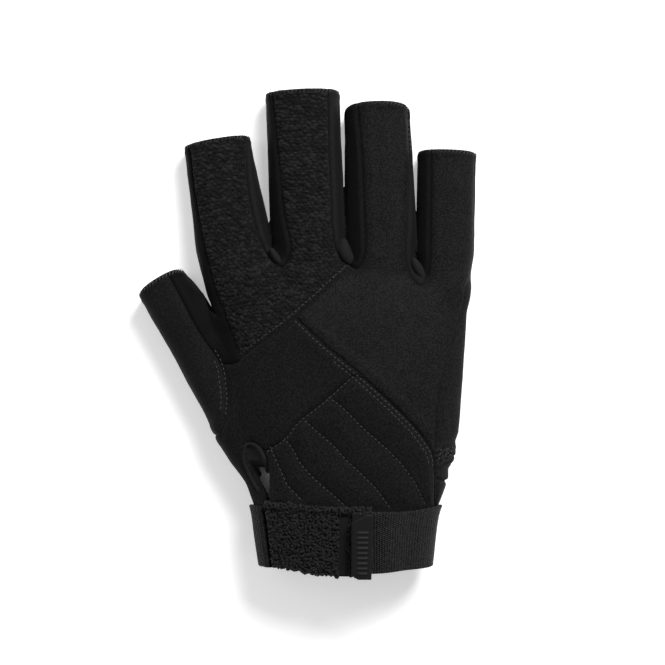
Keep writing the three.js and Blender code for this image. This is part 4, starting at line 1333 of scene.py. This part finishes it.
tab_outline = []
for down_strap, share in ((1.1, 0.125), (1.03, 0.055), (0.16, 0.055), (0.024, 0.19),
                          (0.024, 0.262), (1.1, 0.262)):
    y = strap_top - strap_droop - down_strap * webbing_width
    middle, half = hand_at(y)[:2]
    tab_outline.append((float(middle + half * share), y))
tab_outline = np.array(tab_outline)
low, high = tab_outline.min(axis=0) - 1, tab_outline.max(axis=0) + 1
x_grid, y_grid = np.meshgrid(*(np.arange(a, b, tab_step) for a, b in zip(low, high)))
flat = np.stack([x_grid.ravel(), y_grid.ravel(), np.zeros(x_grid.size)], axis=1)
flat, _, cells = cut_along(flat, np.zeros(len(flat), int), halves(grid_quads(*x_grid.shape)),
                           lambda p, o: inside_distance(p, tab_outline))
cells = cells[inside_distance(flat[cells].mean(axis=1), tab_outline) > 0]
used, cells = np.unique(cells, return_inverse=True)
flat, cells = flat[used], cells.reshape(-1, 3)
from_edge = np.maximum(inside_distance(flat, tab_outline), 0)
rounded = tab_edge - np.sqrt(np.maximum(tab_edge ** 2 - np.clip(tab_edge - from_edge, 0, None)
                                        ** 2, 0))
grip_phase = (flat[:, 1] - strap_top + strap_droop) / 2.1
grip = np.clip(1.4 * np.cos(2 * np.pi * grip_phase), 0, 1)
grip *= eased_step(from_edge, 1.5, 2.1) * (flat[:, 1] < strap_top - 9)
middle, half = hand_at(flat[:, 1])[:2]
tab_turns = np.array([turn_of(s) for s in np.clip((flat[:, 0] - middle) / half, -1, 1)])
tab_base = 3 * layer_gap + pile_thickness + webbing_thickness
tab_finish = cloth_finish("moulded_rubber", "#131313", "#1b1b1b", 0.5, 0.0, 0.35, 0.02, 0.2)
sheet_piece("rubber_pull_tab", "pull_tab",
            spot_on_cuff(flat[:, 1], tab_turns, tab_base + tab_thickness - rounded + 0.4 * grip),
            spot_on_cuff(flat[:, 1], tab_turns, tab_base), cells, tab_finish,
            0.6 * grip)

# All topstitching is done in grey polyester thread, and the open ends of the fingers are
# overlocked: short threads wrap over the raw edge at a slant.
row_stitch = dict(pitch=1.95, stitch=1.5, thread=0.38, slant=0.0)
hem_stitch = dict(pitch=1.6, stitch=2.7, thread=0.5, slant=0.95)


def thread_tree():
    """One stitch at a time along a path: its length follows the path, or crosses it at a slant."""
    tree, given, result = node_tree("stitching", {
        "Pitch": "Float", "Stitch": "Float", "Thread": "Float", "Slant": "Float",
        "Finish": "Material"})
    path = add_node(tree, "GeometryNodeMeshToCurve", [("Mesh", given.outputs["Geometry"])])
    spaced = add_node(tree, "GeometryNodeResampleCurve", [
        ("Curve", path.outputs["Curve"]), ("Length", given.outputs["Pitch"])], mode="LENGTH")
    bead = add_node(tree, "GeometryNodeMeshUVSphere", Segments=6, Rings=5, Radius=0.5)
    ahead = add_node(tree, "GeometryNodeInputTangent")
    out = add_node(tree, "GeometryNodeInputNamedAttribute", data_type="FLOAT_VECTOR", Name="out")
    along = add_node(tree, "FunctionNodeAlignRotationToVector",
                     [("Vector", ahead.outputs["Tangent"])], axis="X")
    upright = add_node(tree, "FunctionNodeAlignRotationToVector", [
        ("Rotation", along.outputs["Rotation"]), ("Vector", out.outputs["Attribute"])],
        axis="Z", pivot_axis="X")
    uneven = add_node(tree, "FunctionNodeRandomValue", data_type="FLOAT", Seed=3)
    uneven.inputs[2].default_value, uneven.inputs[3].default_value = -0.12, 0.12
    angle = add_node(tree, "ShaderNodeCombineXYZ", [
        ("Z", value_of(tree, "ADD", given.outputs["Slant"], uneven.outputs[1]))])
    slanted = add_node(tree, "FunctionNodeRotateRotation", [
        ("Rotation", upright.outputs["Rotation"]), ("Rotate By", angle.outputs[0])],
        rotation_space="LOCAL")
    size = add_node(tree, "ShaderNodeCombineXYZ", [
        ("X", given.outputs["Stitch"]), ("Y", given.outputs["Thread"]),
        ("Z", given.outputs["Thread"])])
    return end_tree(tree, given, result, add_node(tree, "GeometryNodeInstanceOnPoints", [
        ("Points", spaced.outputs["Curve"]), ("Instance", bead.outputs["Mesh"]),
        ("Rotation", slanted.outputs["Rotation"]), ("Scale", size.outputs[0])]))


stitching = thread_tree()
grey_thread = new_material("grey_polyester_thread", "#313131", 0.55)[0]
black_thread = new_material("black_polyester_thread", "#151515", 0.6)[0]


def stitched(name, paths, finish, pitch, stitch, thread, slant):
    """Stitches along paths of places with the way out there. Their sizes are in millimetres."""
    starts = np.cumsum([0] + [len(places) for places, _ in paths]).tolist()
    edges = [(i, i + 1) for start, end in zip(starts, starts[1:]) for i in range(start, end - 1)]
    holder = carrier_of(np.vstack([places for places, _ in paths]), edges=edges,
                        ways=np.vstack([way for _, way in paths]))
    return grown(holder, stitching, name, "stretch_cloth", Finish=finish, Pitch=pitch / 1000,
                 Stitch=stitch / 1000, Thread=thread / 1000, Slant=slant)


row_paths = [on_skin(row) for row in stitch_rows.values()]
stitched("topstitching", [(places + 0.08 * ways, ways) for places, ways in row_paths],
         grey_thread, **row_stitch)

hem_paths = []
for name in digits:
    length = digits[name][3]
    half, top, low = [float(v) for v in digit_size(name, length - 1.0)]
    u, z = section_ring(half, low, top, 90)
    rise = np.clip((2 * z - top - low) / (top - low), 0, 1)
    ring = digit_place(name, u, length - 0.9 + hem_arch[name] * rise, np.maximum(z, 0.4))
    hem_paths.append((ring, skin_direction(ring, np.full(len(ring), names.index(name)))))
for name, rings, finish in (("finger_hem_overlocking", hem_paths[:-1], black_thread),
                            ("thumb_hem_overlocking", hem_paths[-1:], grey_thread)):
    stitched(name, rings, finish, **hem_stitch)
